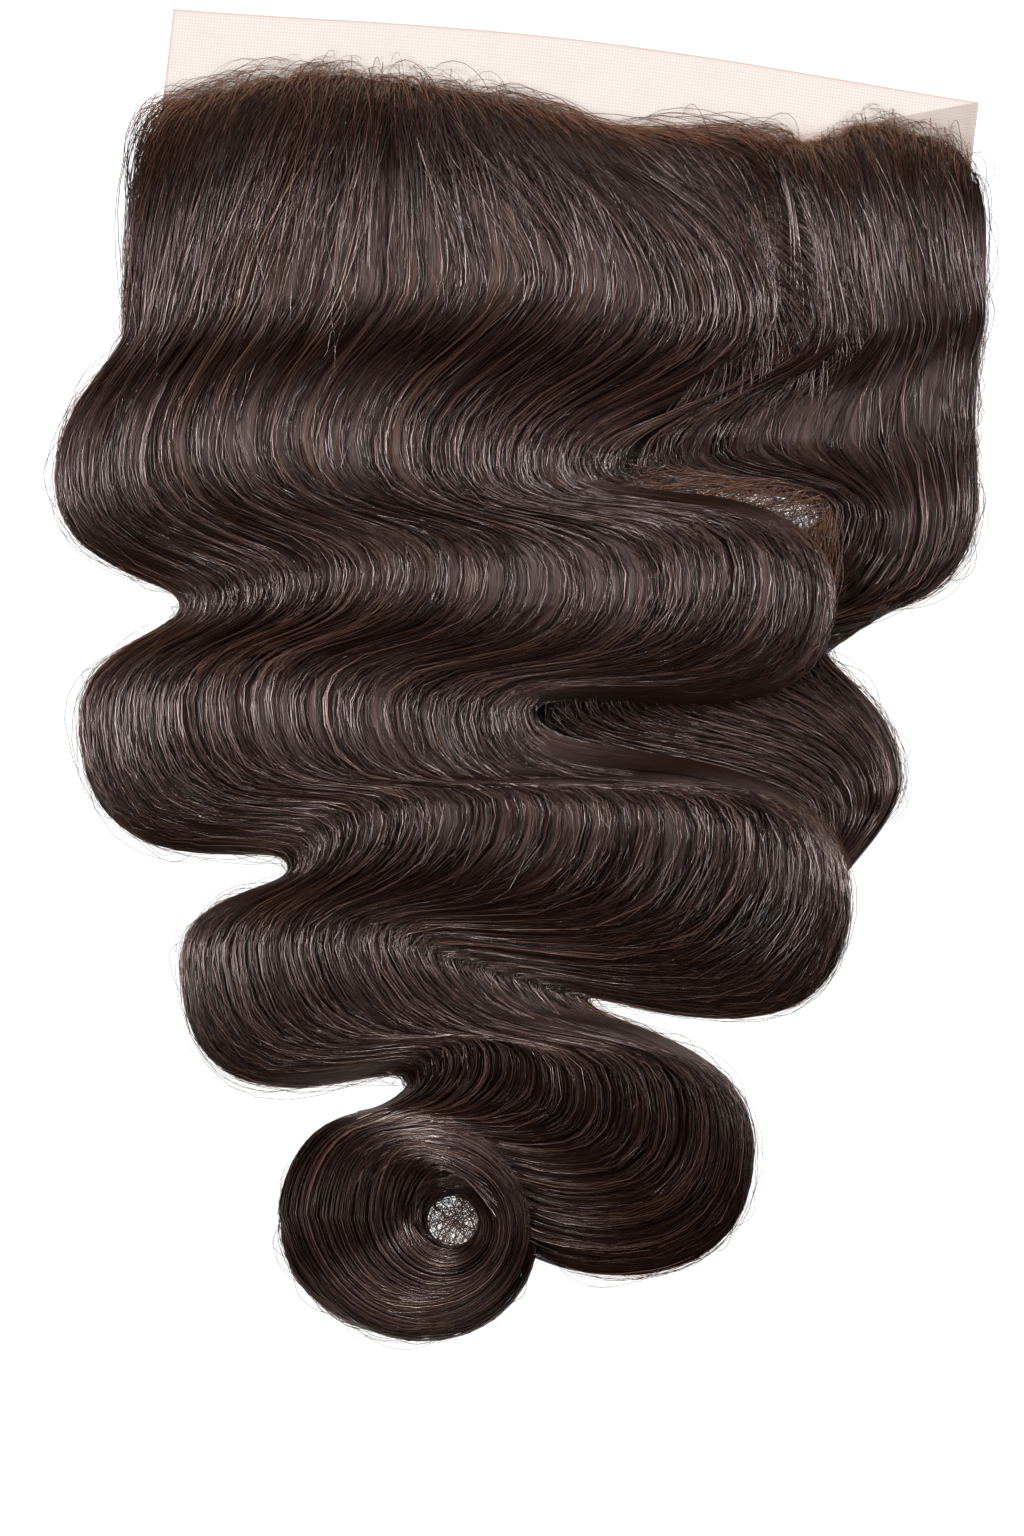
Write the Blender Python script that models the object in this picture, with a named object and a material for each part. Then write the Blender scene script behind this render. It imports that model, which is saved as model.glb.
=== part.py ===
# Lace frontal hairpiece lying flat: a strip of lace with long wavy hair that ends in a curl.
# Metres, +Z up. The lace lies on z = 0 with the centre of its underside at the origin, and the
# hair falls towards -Y. Sizes below are in millimetres and plan positions are (x, y) pairs.
import math

import bpy
import bmesh
import numpy as np

MM = 0.001

# Lace strip
LACE_LENGTH = 330.0
LACE_WIDTH = 102.0
LACE_THICKNESS = 1.0
LACE_TILT = -6.6        # degrees, right end towards the hair
LACE_BOW = 6.5          # the front edge swells by this much at its middle
LACE_STEPS = 14

# How locks lie on what is under them
CLEARANCE = 0.3
LOCK_GAP = 0.4          # between neighbouring locks
UNDER_HAIR = 4.2        # the side fall is pressed to this where the main fall covers it
COVER_MARGIN = 14.0     # a height stays level this far past a covered edge
RISE_PAST_COVER = 0.5   # then pressed hair rises by this much per millimetre
DROP_PAST_COVER = 0.25  # and an underside drops by this much
COVER_PLAY = 0.4        # extra height of the main fall where it covers the side fall

# Shape of a wave: how far the strand runs straight into and out of a bend, in chord lengths
INNER_IN = 0.5
INNER_OUT = 0.45
OUTER_IN = 1.5
SAG_SPREAD = 1.5

# Places across a fall at which the columns of a bend table stand
ACROSS = (0.0, 0.3, 0.6, 0.8, 1.0)

# Each row is a bend of the strands: the side that it swells to (-1 left, 1 right, 0 none), its
# sag, the headings at the left and right edges in degrees, then a place for each column across.
MAIN_BENDS = (
    ("roots", 0, 1.0, 250, 305, (-161, 28), (-94, 42), (-25, 30), (15, 21), (84, 15)),
    ("bend 1", 1, 1.3, 266, 270, (-178, -62), (-107, -45), (1, -36), (44, -47), (94, -49)),
    ("bend 2", -1, 1.6, 270, 275, (-206, -123), (-133, -108), (-54, -112), (-17, -116), (15, -116)),
    ("bend 3", 1, 1.7, 262, 270, (-155, -174), (-72, -162), (24, -167), (70, -163), (111, -171)),
    ("bend 4", -1, 2.3, 270, 285, (-196, -220), (-131, -215), (-58, -221), (-31, -222), (-11, -218)),
    ("bend 5", 1, 2.2, 262, 268, (-111, -280), (-64, -261), (34, -265), (83, -275), (117, -295)),
    ("bend 6", -1, 2.5, 270, 315, (-155, -318), (-111, -318), (-66, -317), (-46, -323), (11, -335)),
    ("bend 7", 1, 1.7, 262, 270, (-63, -368), (-33, -359), (15, -376), (48, -383), (78, -395)),
    ("tail", 0, 1.0, 225, 170, (-79, -380), (-56, -378), (-25, -390), (-12, -409), (-12, -437)),
)
SIDE_BENDS = (
    ("roots", 0, 0.9, 290, 300, (87, 15), (107, 16), (129, 21), (152, 14), (167, 3)),
    ("bend 1", 0, 0.9, 270, 270, (97, -57), (119, -59), (142, -57), (158, -53), (172, -49)),
    ("bend 2", 1, 0.9, 268, 268, (21, -117), (75, -108), (127, -102), (150, -98), (168, -94)),
    ("bend 3", 1, 2.0, 262, 270, (105, -137), (122, -138), (140, -140), (156, -136), (169, -126)),
    ("bend 4", -1, 1.0, 265, 255, (-22, -222), (28, -216), (68, -206), (89, -195), (106, -188)),
    ("bend 5", 1, 1.0, 270, 270, (85, -265), (101, -263), (118, -256), (129, -249), (138, -244)),
    ("end", 0, 0.6, 240, 240, (93, -285), (97, -285), (102, -285), (107, -285), (114, -285)),
)

# Thickness of the hair: bends counted from the roots, then left, middle and right.
MAIN_THICKNESS = (
    (0.0, 1.5, 1.5, 1.5),
    (0.35, 8.0, 8.5, 9.0),
    (1.0, 12.0, 13.0, 15.0),
    (2.0, 14.0, 12.0, 8.0),
    (2.5, 14.0, 14.0, 14.0),
    (3.0, 13.0, 14.0, 15.0),
    (4.0, 14.0, 12.0, 8.0),
    (4.5, 15.0, 15.0, 14.0),
    (5.0, 13.0, 15.0, 16.0),
    (6.0, 14.0, 11.0, 8.0),
    (6.5, 14.0, 15.0, 16.0),
    (7.0, 12.0, 15.0, 16.0),
    (8.0, 9.0, 9.0, 9.0),
)
SIDE_THICKNESS = (
    (0.0, 1.5, 1.5, 1.5),
    (0.35, 8.0, 8.5, 8.0),
    (1.0, 13.0, 14.0, 12.0),
    (2.0, 8.0, 13.0, 12.0),
    (3.0, 4.0, 12.0, 14.0),
    (4.0, 4.0, 6.0, 10.0),
    (5.0, 4.0, 8.0, 11.0),
    (5.85, 3.0, 4.0, 4.0),
)
MAIN_LOCKS = 5
MAIN_STATIONS = 78
SIDE_LOCKS = 3
SIDE_STATIONS = 50
SECTION = (0.0, 0.25, 0.5, 0.75, 1.0)   # points across the top of a lock
LOCK_EDGE = 0.78                        # height of a lock's edge beside its neighbour
OPEN_EDGE = 0.35                        # and where the edge is free

# Curl at the end of the hair
CURL_CENTRE = (-63.0, -424.5)
CURL_RADII = (51.3, 45.2)
CURL_HOLE_CENTRE = (-44.4, -423.3)
CURL_HOLE_RADIUS = 10.2
CURL_HEIGHT = 17.0
CURL_RIDGES = 3
CURL_RIDGE_HEIGHT = 1.4
CURL_STEPS = 56
CURL_POINTS = 13

HAIR_COLOUR = (0.035, 0.02, 0.014, 1.0)
LACE_COLOUR = (0.88, 0.78, 0.7, 1.0)


def clear_scene():
    for item in list(bpy.data.objects):
        bpy.data.objects.remove(item, do_unlink=True)


def make_material(name, colour, roughness):
    material = bpy.data.materials.new(name)
    material.use_nodes = True
    shader = material.node_tree.nodes["Principled BSDF"]
    shader.inputs["Base Color"].default_value = colour
    shader.inputs["Roughness"].default_value = roughness
    material.diffuse_color = colour
    return material


def cubic(start, start_slope, end, end_slope, t):
    """Cubic curve from start to end with the given slopes."""
    return (
        (2 * t**3 - 3 * t**2 + 1) * start
        + (t**3 - 2 * t**2 + t) * start_slope
        + (3 * t**2 - 2 * t**3) * end
        + (t**3 - t**2) * end_slope
    )


def places_across(bends, across):
    """Place of each bend at each value across the fall."""
    columns = np.array([row[5:] for row in bends], float)
    columns = np.swapaxes(columns, 0, 1)
    slopes = np.gradient(columns, np.array(ACROSS), axis=0)
    left = np.clip(np.searchsorted(ACROSS, across, side="right") - 1, 0, len(ACROSS) - 2)
    span = np.diff(ACROSS)[left]
    t = ((across - np.array(ACROSS)[left]) / span)[:, None, None]
    span = span[:, None, None]
    return cubic(columns[left], slopes[left] * span, columns[left + 1], slopes[left + 1] * span, t)


def strand_paths(bends, across, along):
    """Plan places for values across the fall and along it, where along counts the bends."""
    places = places_across(bends, across)
    chords = np.linalg.norm(np.diff(places, axis=1), axis=2)
    side, sag, left_heading, right_heading = np.array([row[1:5] for row in bends], float).T
    u = across[:, None]
    heading = np.radians(left_heading + (right_heading - left_heading) * u)
    facing = np.stack([np.cos(heading), np.sin(heading)], axis=2)
    outer = np.where(side > 0, u, 1 - u)
    run_in = np.where(side == 0, sag, INNER_IN + (OUTER_IN - INNER_IN) * outer)
    run_out = np.where(side == 0, sag, INNER_OUT + (sag - INNER_OUT) * outer**SAG_SPREAD)
    bend = np.clip(np.floor(along).astype(int), 0, len(bends) - 2)
    t = (along - bend)[None, :, None]
    leaving = (run_out[:, bend] * chords[:, bend])[:, :, None] * facing[:, bend]
    arriving = (run_in[:, bend + 1] * chords[:, bend])[:, :, None] * facing[:, bend + 1]
    return cubic(places[:, bend], leaving, places[:, bend + 1], arriving, t)


def thickness_at(table, across, along):
    """Thickness between the rows and columns of a thickness table."""
    rows = np.array(table, float)
    left, middle, right = [np.interp(along, rows[:, 0], rows[:, k]) for k in (1, 2, 3)]
    u = across[:, None]
    return np.where(
        u < 0.5,
        left + (middle - left) * 2 * u,
        middle + (right - middle) * (2 * u - 1),
    )


def distance_outside(outline, points):
    """Distance of each point from a closed outline, 0 inside it."""
    start = outline
    step = np.roll(outline, -1, axis=0) - start
    away = points[..., None, :] - start
    t = np.clip((away * step).sum(-1) / np.maximum((step * step).sum(-1), 1e-9), 0, 1)
    nearest = np.linalg.norm(away - t[..., None] * step, axis=-1).min(axis=-1)
    end = start + step
    rises = (start[:, 1] > points[..., None, 1]) != (end[:, 1] > points[..., None, 1])
    height = np.where(step[:, 1] == 0, 1e-9, step[:, 1])
    crossing = start[:, 0] + (points[..., None, 1] - start[:, 1]) * step[:, 0] / height
    inside = (rises & (points[..., None, 0] < crossing)).sum(-1) % 2 == 1
    return np.where(inside, 0.0, nearest)


def lift_over(outline, height, points):
    """Height of an underside that clears a piece with this outline and height."""
    past = np.maximum(distance_outside(outline, points) - COVER_MARGIN, 0.0)
    return np.maximum(height + CLEARANCE - DROP_PAST_COVER * past, 0.0)


def lace_outline():
    """Corners and bowed front edge of the lace, anticlockwise from the back left corner."""
    half_length = LACE_LENGTH / 2
    half_width = LACE_WIDTH / 2
    t = np.linspace(0.0, 1.0, LACE_STEPS + 1)
    front_x = half_length * (1 - 2 * t)
    front_y = half_width + LACE_BOW * np.sin(math.pi * t) ** 1.3
    flat = np.concatenate([
        [[-half_length, -half_width], [half_length, -half_width]],
        np.stack([front_x, front_y], axis=1),
    ])
    turn = math.radians(LACE_TILT)
    return flat @ np.array([[math.cos(turn), math.sin(turn)], [-math.sin(turn), math.cos(turn)]])


def patch_outline(bends, across_from, across_to, along_from, along_to):
    """Outline in plan of part of a fall."""
    along = np.linspace(along_from, along_to, 60)
    left, right = strand_paths(bends, np.array([across_from, across_to]), along)
    return np.concatenate([left, right[::-1]])


def mesh_object(name, points, faces, material, collection):
    mesh = bpy.data.meshes.new(name)
    mesh.from_pydata([tuple(p) for p in points], [], faces)
    mesh.materials.append(material)
    solid = bmesh.new()
    solid.from_mesh(mesh)
    bmesh.ops.recalc_face_normals(solid, faces=solid.faces)
    if solid.calc_volume(signed=True) < 0:
        bmesh.ops.reverse_faces(solid, faces=solid.faces)
    solid.to_mesh(mesh)
    solid.free()
    item = bpy.data.objects.new(name, mesh)
    collection.objects.link(item)
    return item


def rings_to_faces(ring_count, ring_size, closed):
    """Quads between rings of points, with end caps unless the rings close on themselves."""
    faces = []
    for ring in range(ring_count if closed else ring_count - 1):
        here = ring * ring_size
        there = ((ring + 1) % ring_count) * ring_size
        for k in range(ring_size):
            after = (k + 1) % ring_size
            faces.append((here + k, here + after, there + after, there + k))
    if not closed:
        last = (ring_count - 1) * ring_size
        faces.append(tuple(range(ring_size)))
        faces.append(tuple(last + k for k in range(ring_size)))
    return faces


def build_lace(material, collection):
    outline = lace_outline()
    count = len(outline)
    low = np.column_stack([outline, np.zeros(count)])
    high = np.column_stack([outline, np.full(count, LACE_THICKNESS)])
    points = np.concatenate([low, high]) * MM
    return mesh_object("lace_net", points, rings_to_faces(2, count, False), material, collection)


def lock_crown(first, last):
    """Height across the top of a lock, lower at its edges and lowest at a free edge."""
    s = np.array(SECTION)
    crown = 1 - (1 - LOCK_EDGE) * np.abs(2 * s - 1) ** 3
    if first:
        crown = crown * (OPEN_EDGE + (1 - OPEN_EDGE) * np.minimum(1, s * 2.4) ** 0.6)
    if last:
        crown = crown * (OPEN_EDGE + (1 - OPEN_EDGE) * np.minimum(1, (1 - s) * 2.4) ** 0.6)
    return crown


def build_lock(name, bends, thickness, span, along, ends, underside, ceiling, material, collection):
    """Closed lock between two strands of a fall."""
    across = span[0] + (span[1] - span[0]) * np.array(SECTION)
    plan = strand_paths(bends, across, along)
    forward = np.gradient(plan, axis=1)
    forward = forward / np.linalg.norm(forward, axis=2, keepdims=True)
    rightward = np.stack([-forward[..., 1], forward[..., 0]], axis=2)
    inset = np.zeros((len(across), 1, 1))
    inset[0] = LOCK_GAP / 2
    inset[-1] = -LOCK_GAP / 2
    plan = plan + rightward * inset
    low = underside(plan)
    top = low + thickness_at(thickness, across, along) * lock_crown(*ends)[:, None]
    top = np.maximum(np.minimum(top, ceiling(plan)), low + 1.0)
    upper = np.dstack([plan, top])
    lower = np.dstack([plan, low])
    ring = np.concatenate([upper, lower[[4, 2, 0]]])    # back under it by right, middle and left
    points = np.swapaxes(ring, 0, 1).reshape(-1, 3) * MM
    faces = rings_to_faces(len(along), len(ring), False)
    return mesh_object(name, points, faces, material, collection)


def build_main_fall(material, collection):
    lace = lace_outline()
    side = patch_outline(SIDE_BENDS, 0.0, 1.0, 2.7, SIDE_THICKNESS[-1][0])
    along = np.linspace(0.0, MAIN_THICKNESS[-1][0], MAIN_STATIONS)

    def underside(plan):
        return np.maximum(
            lift_over(lace, LACE_THICKNESS, plan),
            lift_over(side, UNDER_HAIR + COVER_PLAY, plan),
        )

    def ceiling(plan):
        return np.full(plan.shape[:-1], 100.0)

    edges = np.linspace(0.0, 1.0, MAIN_LOCKS + 1)
    for k in range(MAIN_LOCKS):
        build_lock(
            f"main_fall_{k + 1}", MAIN_BENDS, MAIN_THICKNESS, (edges[k], edges[k + 1]), along,
            (k == 0, k == MAIN_LOCKS - 1), underside, ceiling, material, collection,
        )


def build_side_fall(material, collection):
    lace = lace_outline()
    cover = patch_outline(MAIN_BENDS, 0.35, 1.0, 2.25, 5.4)
    along = np.linspace(0.0, SIDE_THICKNESS[-1][0], SIDE_STATIONS)

    def underside(plan):
        return lift_over(lace, LACE_THICKNESS, plan)

    def ceiling(plan):
        past = np.maximum(distance_outside(cover, plan) - COVER_MARGIN, 0.0)
        return UNDER_HAIR + RISE_PAST_COVER * past

    edges = np.linspace(0.0, 1.0, SIDE_LOCKS + 1)
    for k in range(SIDE_LOCKS):
        build_lock(
            f"side_fall_{k + 1}", SIDE_BENDS, SIDE_THICKNESS, (edges[k], edges[k + 1]), along,
            (k == 0, k == SIDE_LOCKS - 1), underside, ceiling, material, collection,
        )


def build_end_curl(material, collection):
    """Ring of coiled hair round an off-centre hole, with ridges that wind inwards."""
    turn = np.linspace(0.0, 2 * math.pi, CURL_STEPS, endpoint=False)[:, None]
    s = np.linspace(0.0, 1.0, CURL_POINTS)[None, :]
    outer = np.dstack([
        CURL_CENTRE[0] + CURL_RADII[0] * np.cos(turn),
        CURL_CENTRE[1] + CURL_RADII[1] * np.sin(turn),
    ])
    inner = np.dstack([
        CURL_HOLE_CENTRE[0] + CURL_HOLE_RADIUS * np.cos(turn),
        CURL_HOLE_CENTRE[1] + CURL_HOLE_RADIUS * np.sin(turn),
    ])
    plan = outer + (inner - outer) * s[..., None]
    swell = np.sin(math.pi * (0.08 + 0.84 * s)) ** 0.6
    ridge = CURL_RIDGE_HEIGHT * np.cos(2 * math.pi * CURL_RIDGES * s - turn)
    height = CURL_HEIGHT * swell + ridge * swell
    upper = np.dstack([plan, height])
    lower = np.dstack([plan, np.zeros_like(height)])[:, [CURL_POINTS - 1, CURL_POINTS // 2, 0]]
    rings = np.concatenate([upper, lower], axis=1)
    points = rings.reshape(-1, 3) * MM
    faces = rings_to_faces(CURL_STEPS, rings.shape[1], True)
    return mesh_object("end_curl", points, faces, material, collection)


def main():
    clear_scene()
    collection = bpy.data.collections.new("lace_frontal_hairpiece")
    bpy.context.scene.collection.children.link(collection)
    hair = make_material("hair", HAIR_COLOUR, 0.42)
    lace = make_material("lace", LACE_COLOUR, 0.85)
    build_lace(lace, collection)
    build_main_fall(hair, collection)
    build_side_fall(hair, collection)
    build_end_curl(hair, collection)


main()
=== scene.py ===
# Lace frontal hairpiece laid out flat, seen from straight above.
# Metres, +Z up: the lace lies on z = 0 round the origin and the hair falls towards -Y.
import math
import bpy
import numpy as np
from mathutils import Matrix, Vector


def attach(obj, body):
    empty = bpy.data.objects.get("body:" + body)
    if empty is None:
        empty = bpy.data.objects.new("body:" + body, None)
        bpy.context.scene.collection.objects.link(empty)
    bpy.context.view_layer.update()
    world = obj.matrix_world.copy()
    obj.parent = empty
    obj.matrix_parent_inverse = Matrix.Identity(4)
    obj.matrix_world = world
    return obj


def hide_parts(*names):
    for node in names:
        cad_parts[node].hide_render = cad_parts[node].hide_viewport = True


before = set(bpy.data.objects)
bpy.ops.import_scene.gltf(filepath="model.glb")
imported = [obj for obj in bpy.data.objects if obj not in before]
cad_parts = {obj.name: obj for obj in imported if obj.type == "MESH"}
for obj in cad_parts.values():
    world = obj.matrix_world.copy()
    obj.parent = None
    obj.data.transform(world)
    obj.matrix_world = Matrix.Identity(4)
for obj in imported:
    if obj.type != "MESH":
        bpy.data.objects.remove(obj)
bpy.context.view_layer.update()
print("frame loaded")

mm = 0.001
rng = np.random.default_rng(13)

# How the strands run. Each row is a bend: the side that it swells to (-1 left, 1 right, 0 none),
# its sag, the headings at the left and right edges in degrees, then a place in mm for each column.
flow = {
    "across": (0.0, 0.3, 0.6, 0.8, 1.0),    # where the columns stand across a fall
    "innerIn": 0.5,                         # how far a strand runs straight into and out of a
    "innerOut": 0.45,                       # bend, in chord lengths
    "outerIn": 1.5,
    "grow": (0.6, 0.9),                     # how fast these grow from a fall's inner edge
    "combGrow": (0.4, 0.5),                 # and for the combed strands inside the falls
    "main": (
        ("roots", 0, 1.0, 250, 305, (-161, 28), (-94, 42), (-25, 30), (15, 21), (84, 15)),
        ("bend 1", 1, 1.3, 266, 270, (-178, -62), (-107, -45), (1, -36), (44, -47), (94, -49)),
        ("bend 2", -1, 1.6, 270, 275, (-206, -123), (-133, -108), (-54, -112), (-17, -116), (15, -116)),
        ("bend 3", 1, 1.7, 262, 270, (-155, -174), (-72, -162), (24, -167), (70, -163), (111, -171)),
        ("bend 4", -1, 2.3, 270, 285, (-196, -220), (-131, -215), (-58, -221), (-31, -222), (-11, -218)),
        ("bend 5", 1, 2.2, 262, 268, (-111, -280), (-64, -261), (34, -265), (83, -275), (117, -295)),
        ("bend 6", -1, 2.5, 270, 315, (-155, -318), (-111, -318), (-66, -317), (-46, -323), (11, -335)),
        ("bend 7", 1, 1.7, 262, 270, (-63, -368), (-33, -359), (15, -376), (48, -383), (78, -395)),
        ("tail", 0, 1.0, 190, 155, (-79, -378), (-56, -378), (-24, -391), (-12, -410), (-12, -438)),
        ("curl top", 0, 1.0, 205, 165, (-94, -383), (-80, -385), (-66, -388), (-58, -393), (-46, -402)),
        ("curl side", 0, 1.0, 268, 270, (-115, -420), (-102, -420), (-86, -422), (-74, -422), (-61, -422)),
    ),
    "side": (
        ("roots", 0, 0.9, 290, 300, (87, 15), (107, 16), (129, 21), (152, 14), (167, 3)),
        ("bend 1", 0, 0.9, 270, 270, (97, -57), (119, -59), (142, -57), (158, -53), (172, -49)),
        ("bend 2", 1, 0.9, 268, 268, (21, -117), (75, -108), (127, -102), (150, -98), (168, -94)),
        ("bend 3", 1, 2.0, 262, 270, (105, -137), (122, -138), (140, -140), (156, -136), (169, -126)),
        ("bend 4", -1, 1.0, 265, 255, (-22, -222), (28, -216), (68, -206), (89, -195), (106, -188)),
        ("bend 5", 1, 1.0, 270, 270, (85, -265), (101, -263), (118, -256), (129, -249), (138, -244)),
        ("end", 0, 0.6, 240, 240, (93, -285), (97, -285), (102, -285), (107, -285), (114, -285)),
    ),
}

# Thickness of the hair in mm: bends counted from the roots, then left, middle and right.
thickness = {
    "main": (
        (0.0, 1.5, 1.5, 1.5),
        (0.35, 8.0, 8.5, 9.0),
        (1.0, 12.0, 13.0, 15.0),
        (2.0, 14.0, 12.0, 8.0),
        (2.5, 14.0, 14.0, 14.0),
        (3.0, 13.0, 14.0, 15.0),
        (4.0, 14.0, 12.0, 8.0),
        (4.5, 15.0, 15.0, 14.0),
        (5.0, 13.0, 15.0, 16.0),
        (6.0, 14.0, 11.0, 8.0),
        (6.5, 14.0, 15.0, 16.0),
        (7.0, 12.0, 15.0, 16.0),
        (8.0, 9.0, 9.0, 9.0),
    ),
    "side": (
        (0.0, 1.5, 1.5, 1.5),
        (0.35, 8.0, 8.5, 8.0),
        (1.0, 13.0, 14.0, 12.0),
        (2.0, 8.0, 13.0, 12.0),
        (3.0, 4.0, 12.0, 14.0),
        (4.0, 4.0, 6.0, 10.0),
        (5.0, 4.0, 8.0, 11.0),
        (5.85, 3.0, 4.0, 4.0),
    ),
    "locks": {"main": 5, "side": 3},
    "lockEdge": 0.88,       # height of a lock's edge beside its neighbour
    "openEdge": 0.35,       # and where the edge is free
    "overLace": 1.3,        # mm, the hair's underside over the lace
    "overSide": 4.9,        # and the main fall's over the side fall
    "pressed": 4.2,         # the side fall's top where the main fall covers it
    "dip": 2.2,             # mm, how far the hair sinks between two bends
    "margin": 14.0,         # mm past a covered edge before a height changes
    "rise": 0.5,            # then mm per mm upwards
    "drop": 0.25,           # and downwards
}

curl = {
    "centre": (-63.0, -424.5),      # mm, the middle of its outline
    "radii": (51.3, 45.2),
    "hole": (-44.4, -423.3),
    "holeRadius": 10.2,
    "height": 17.0,
    "lip": 0.08,                    # the section starts this far up its sine at both ends
    "blunt": 0.6,                   # and is raised to this power
    "turns": (0.25, 0.85),          # how far a strand winds in after the curl's left side
    "tightening": 0.3,
    "steps": (160, 30),             # of its body, round and from outline to hole
}

lace = {
    "length": 0.330,
    "width": 0.102,
    "tilt": -6.6,           # degrees, right end towards the hair
    "bow": 0.0065,          # the front edge swells by this at its middle
    "thickness": 0.0004,
    "lift": 0.0003,         # its underside over the floor
    "ripple": 0.0002,
    "steps": (60, 36),      # along and across, besides the fine ones at the rim
}


def cubic(start, startSlope, end, endSlope, t):
    # Hermite cubic: the four standard weights in t times the two places and two slopes.
    return ((2 * t**3 - 3 * t**2 + 1) * start + (t**3 - 2 * t**2 + t) * startSlope
            + (3 * t**2 - 2 * t**3) * end + (t**3 - t**2) * endSlope)


def smooth(low, high, x):
    t = np.clip((x - low) / (high - low), 0, 1)
    return t * t * (3 - 2 * t)


def placesAcross(bends, across):
    # Each bend's place for each strand: a cubic through the bend's columns.
    stands = np.array(flow["across"])
    columns = np.swapaxes(np.array([row[5:] for row in bends], float), 0, 1)
    slopes = np.gradient(columns, stands, axis=0)
    left = np.clip(np.searchsorted(stands, across, side="right") - 1, 0, len(stands) - 2)
    span = np.diff(stands)[left]
    t = ((across - stands[left]) / span)[:, None, None]
    span = span[:, None, None]
    return cubic(columns[left], slopes[left] * span, columns[left + 1], slopes[left + 1] * span, t)


def bendRuns(bends, across, grow):
    # Per strand and bend: its place, its facing, and how far it runs straight in and out.
    places = placesAcross(bends, across)
    side, sag, leftHeading, rightHeading = np.array([row[1:5] for row in bends], float).T
    u = across[:, None]
    heading = np.radians(leftHeading + (rightHeading - leftHeading) * u)
    facing = np.stack([np.cos(heading), np.sin(heading)], axis=2)
    outer = np.clip(np.where(side > 0, u, 1 - u), 0, 1)
    runIn = np.where(side == 0, sag,
                     flow["innerIn"] + (flow["outerIn"] - flow["innerIn"]) * outer ** grow[0])
    runOut = np.where(side == 0, sag,
                      flow["innerOut"] + (sag - flow["innerOut"]) * outer ** grow[1])
    return places, facing, runIn, runOut


def strandPlan(bends, across, along, grow=flow["grow"]):
    # Plan places in mm, shape (strands, steps, 2). along counts bends and may differ per strand.
    # Between two bends the strand is a cubic whose slopes are the bends' facings times the chord.
    along = np.broadcast_to(along, (len(across), np.shape(along)[-1]))
    places, facing, runIn, runOut = bendRuns(bends, across, grow)
    chords = np.linalg.norm(np.diff(places, axis=1), axis=2)
    bend = np.clip(np.floor(along).astype(int), 0, len(bends) - 2)
    row = np.arange(len(across))[:, None]
    t = (along - bend)[..., None]
    leaving = (runOut[row, bend] * chords[row, bend])[..., None] * facing[row, bend]
    arriving = (runIn[row, bend + 1] * chords[row, bend])[..., None] * facing[row, bend + 1]
    path = cubic(places[row, bend], leaving, places[row, bend + 1], arriving, t)
    before = np.minimum(along, 0)[..., None]        # straight back from the roots
    return np.where(before < 0, places[:, :1] + before * 60 * facing[:, :1], path)


def distanceOutside(outline, points):
    # Distance to the nearest edge of a closed outline, 0 inside it, counted by crossings.
    flat = points.reshape(-1, 2)
    start = outline
    step = np.roll(outline, -1, axis=0) - start
    found = np.zeros(len(flat))
    for part in np.array_split(np.arange(len(flat)), max(1, len(flat) // 20000)):
        p = flat[part]
        away = p[:, None, :] - start
        t = np.clip((away * step).sum(-1) / np.maximum((step * step).sum(-1), 1e-9), 0, 1)
        near = np.linalg.norm(away - t[..., None] * step, axis=-1).min(axis=-1)
        rises = (start[:, 1] > p[:, None, 1]) != (start[:, 1] + step[:, 1] > p[:, None, 1])
        height = np.where(step[:, 1] == 0, 1e-9, step[:, 1])
        crossing = start[:, 0] + (p[:, None, 1] - start[:, 1]) * step[:, 0] / height
        inside = (rises & (p[:, None, 0] < crossing)).sum(-1) % 2 == 1
        found[part] = np.where(inside, 0, near)
    return found.reshape(points.shape[:-1])


def turnLace(flat):
    turn = math.radians(lace["tilt"])
    return flat @ np.array([[math.cos(turn), math.sin(turn)], [-math.sin(turn), math.cos(turn)]])


def patchOutline(bends, acrossFrom, acrossTo, alongFrom, alongTo):
    left, right = strandPlan(bends, np.array([acrossFrom, acrossTo]), np.linspace(alongFrom, alongTo, 60))
    return np.concatenate([left, right[::-1]])


laceCorners = turnLace(np.array([[-165, -51], [165, -51], [165, 51], [60, 57], [-60, 57], [-165, 51]], float))
sideOutline = patchOutline(flow["side"], 0, 1, 2.7, 5.85)
coverOutline = patchOutline(flow["main"], 0.35, 1, 2.25, 5.4)


def crownAcross(fall, across):
    # Height across a fall: a shallow groove between neighbouring locks, a round fall at free edges.
    count = thickness["locks"][fall]
    s = np.clip(across, 0, 1) * count
    s = s - np.minimum(np.floor(s), count - 1)
    crown = 1 - (1 - thickness["lockEdge"]) * np.abs(2 * s - 1) ** 3
    free = np.minimum(np.clip(across, 0, 1), 1 - np.clip(across, 0, 1)) * count
    edge = thickness["openEdge"]
    return crown * (edge + (1 - edge) * np.minimum(1, free * 2.4) ** 0.6)


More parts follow.
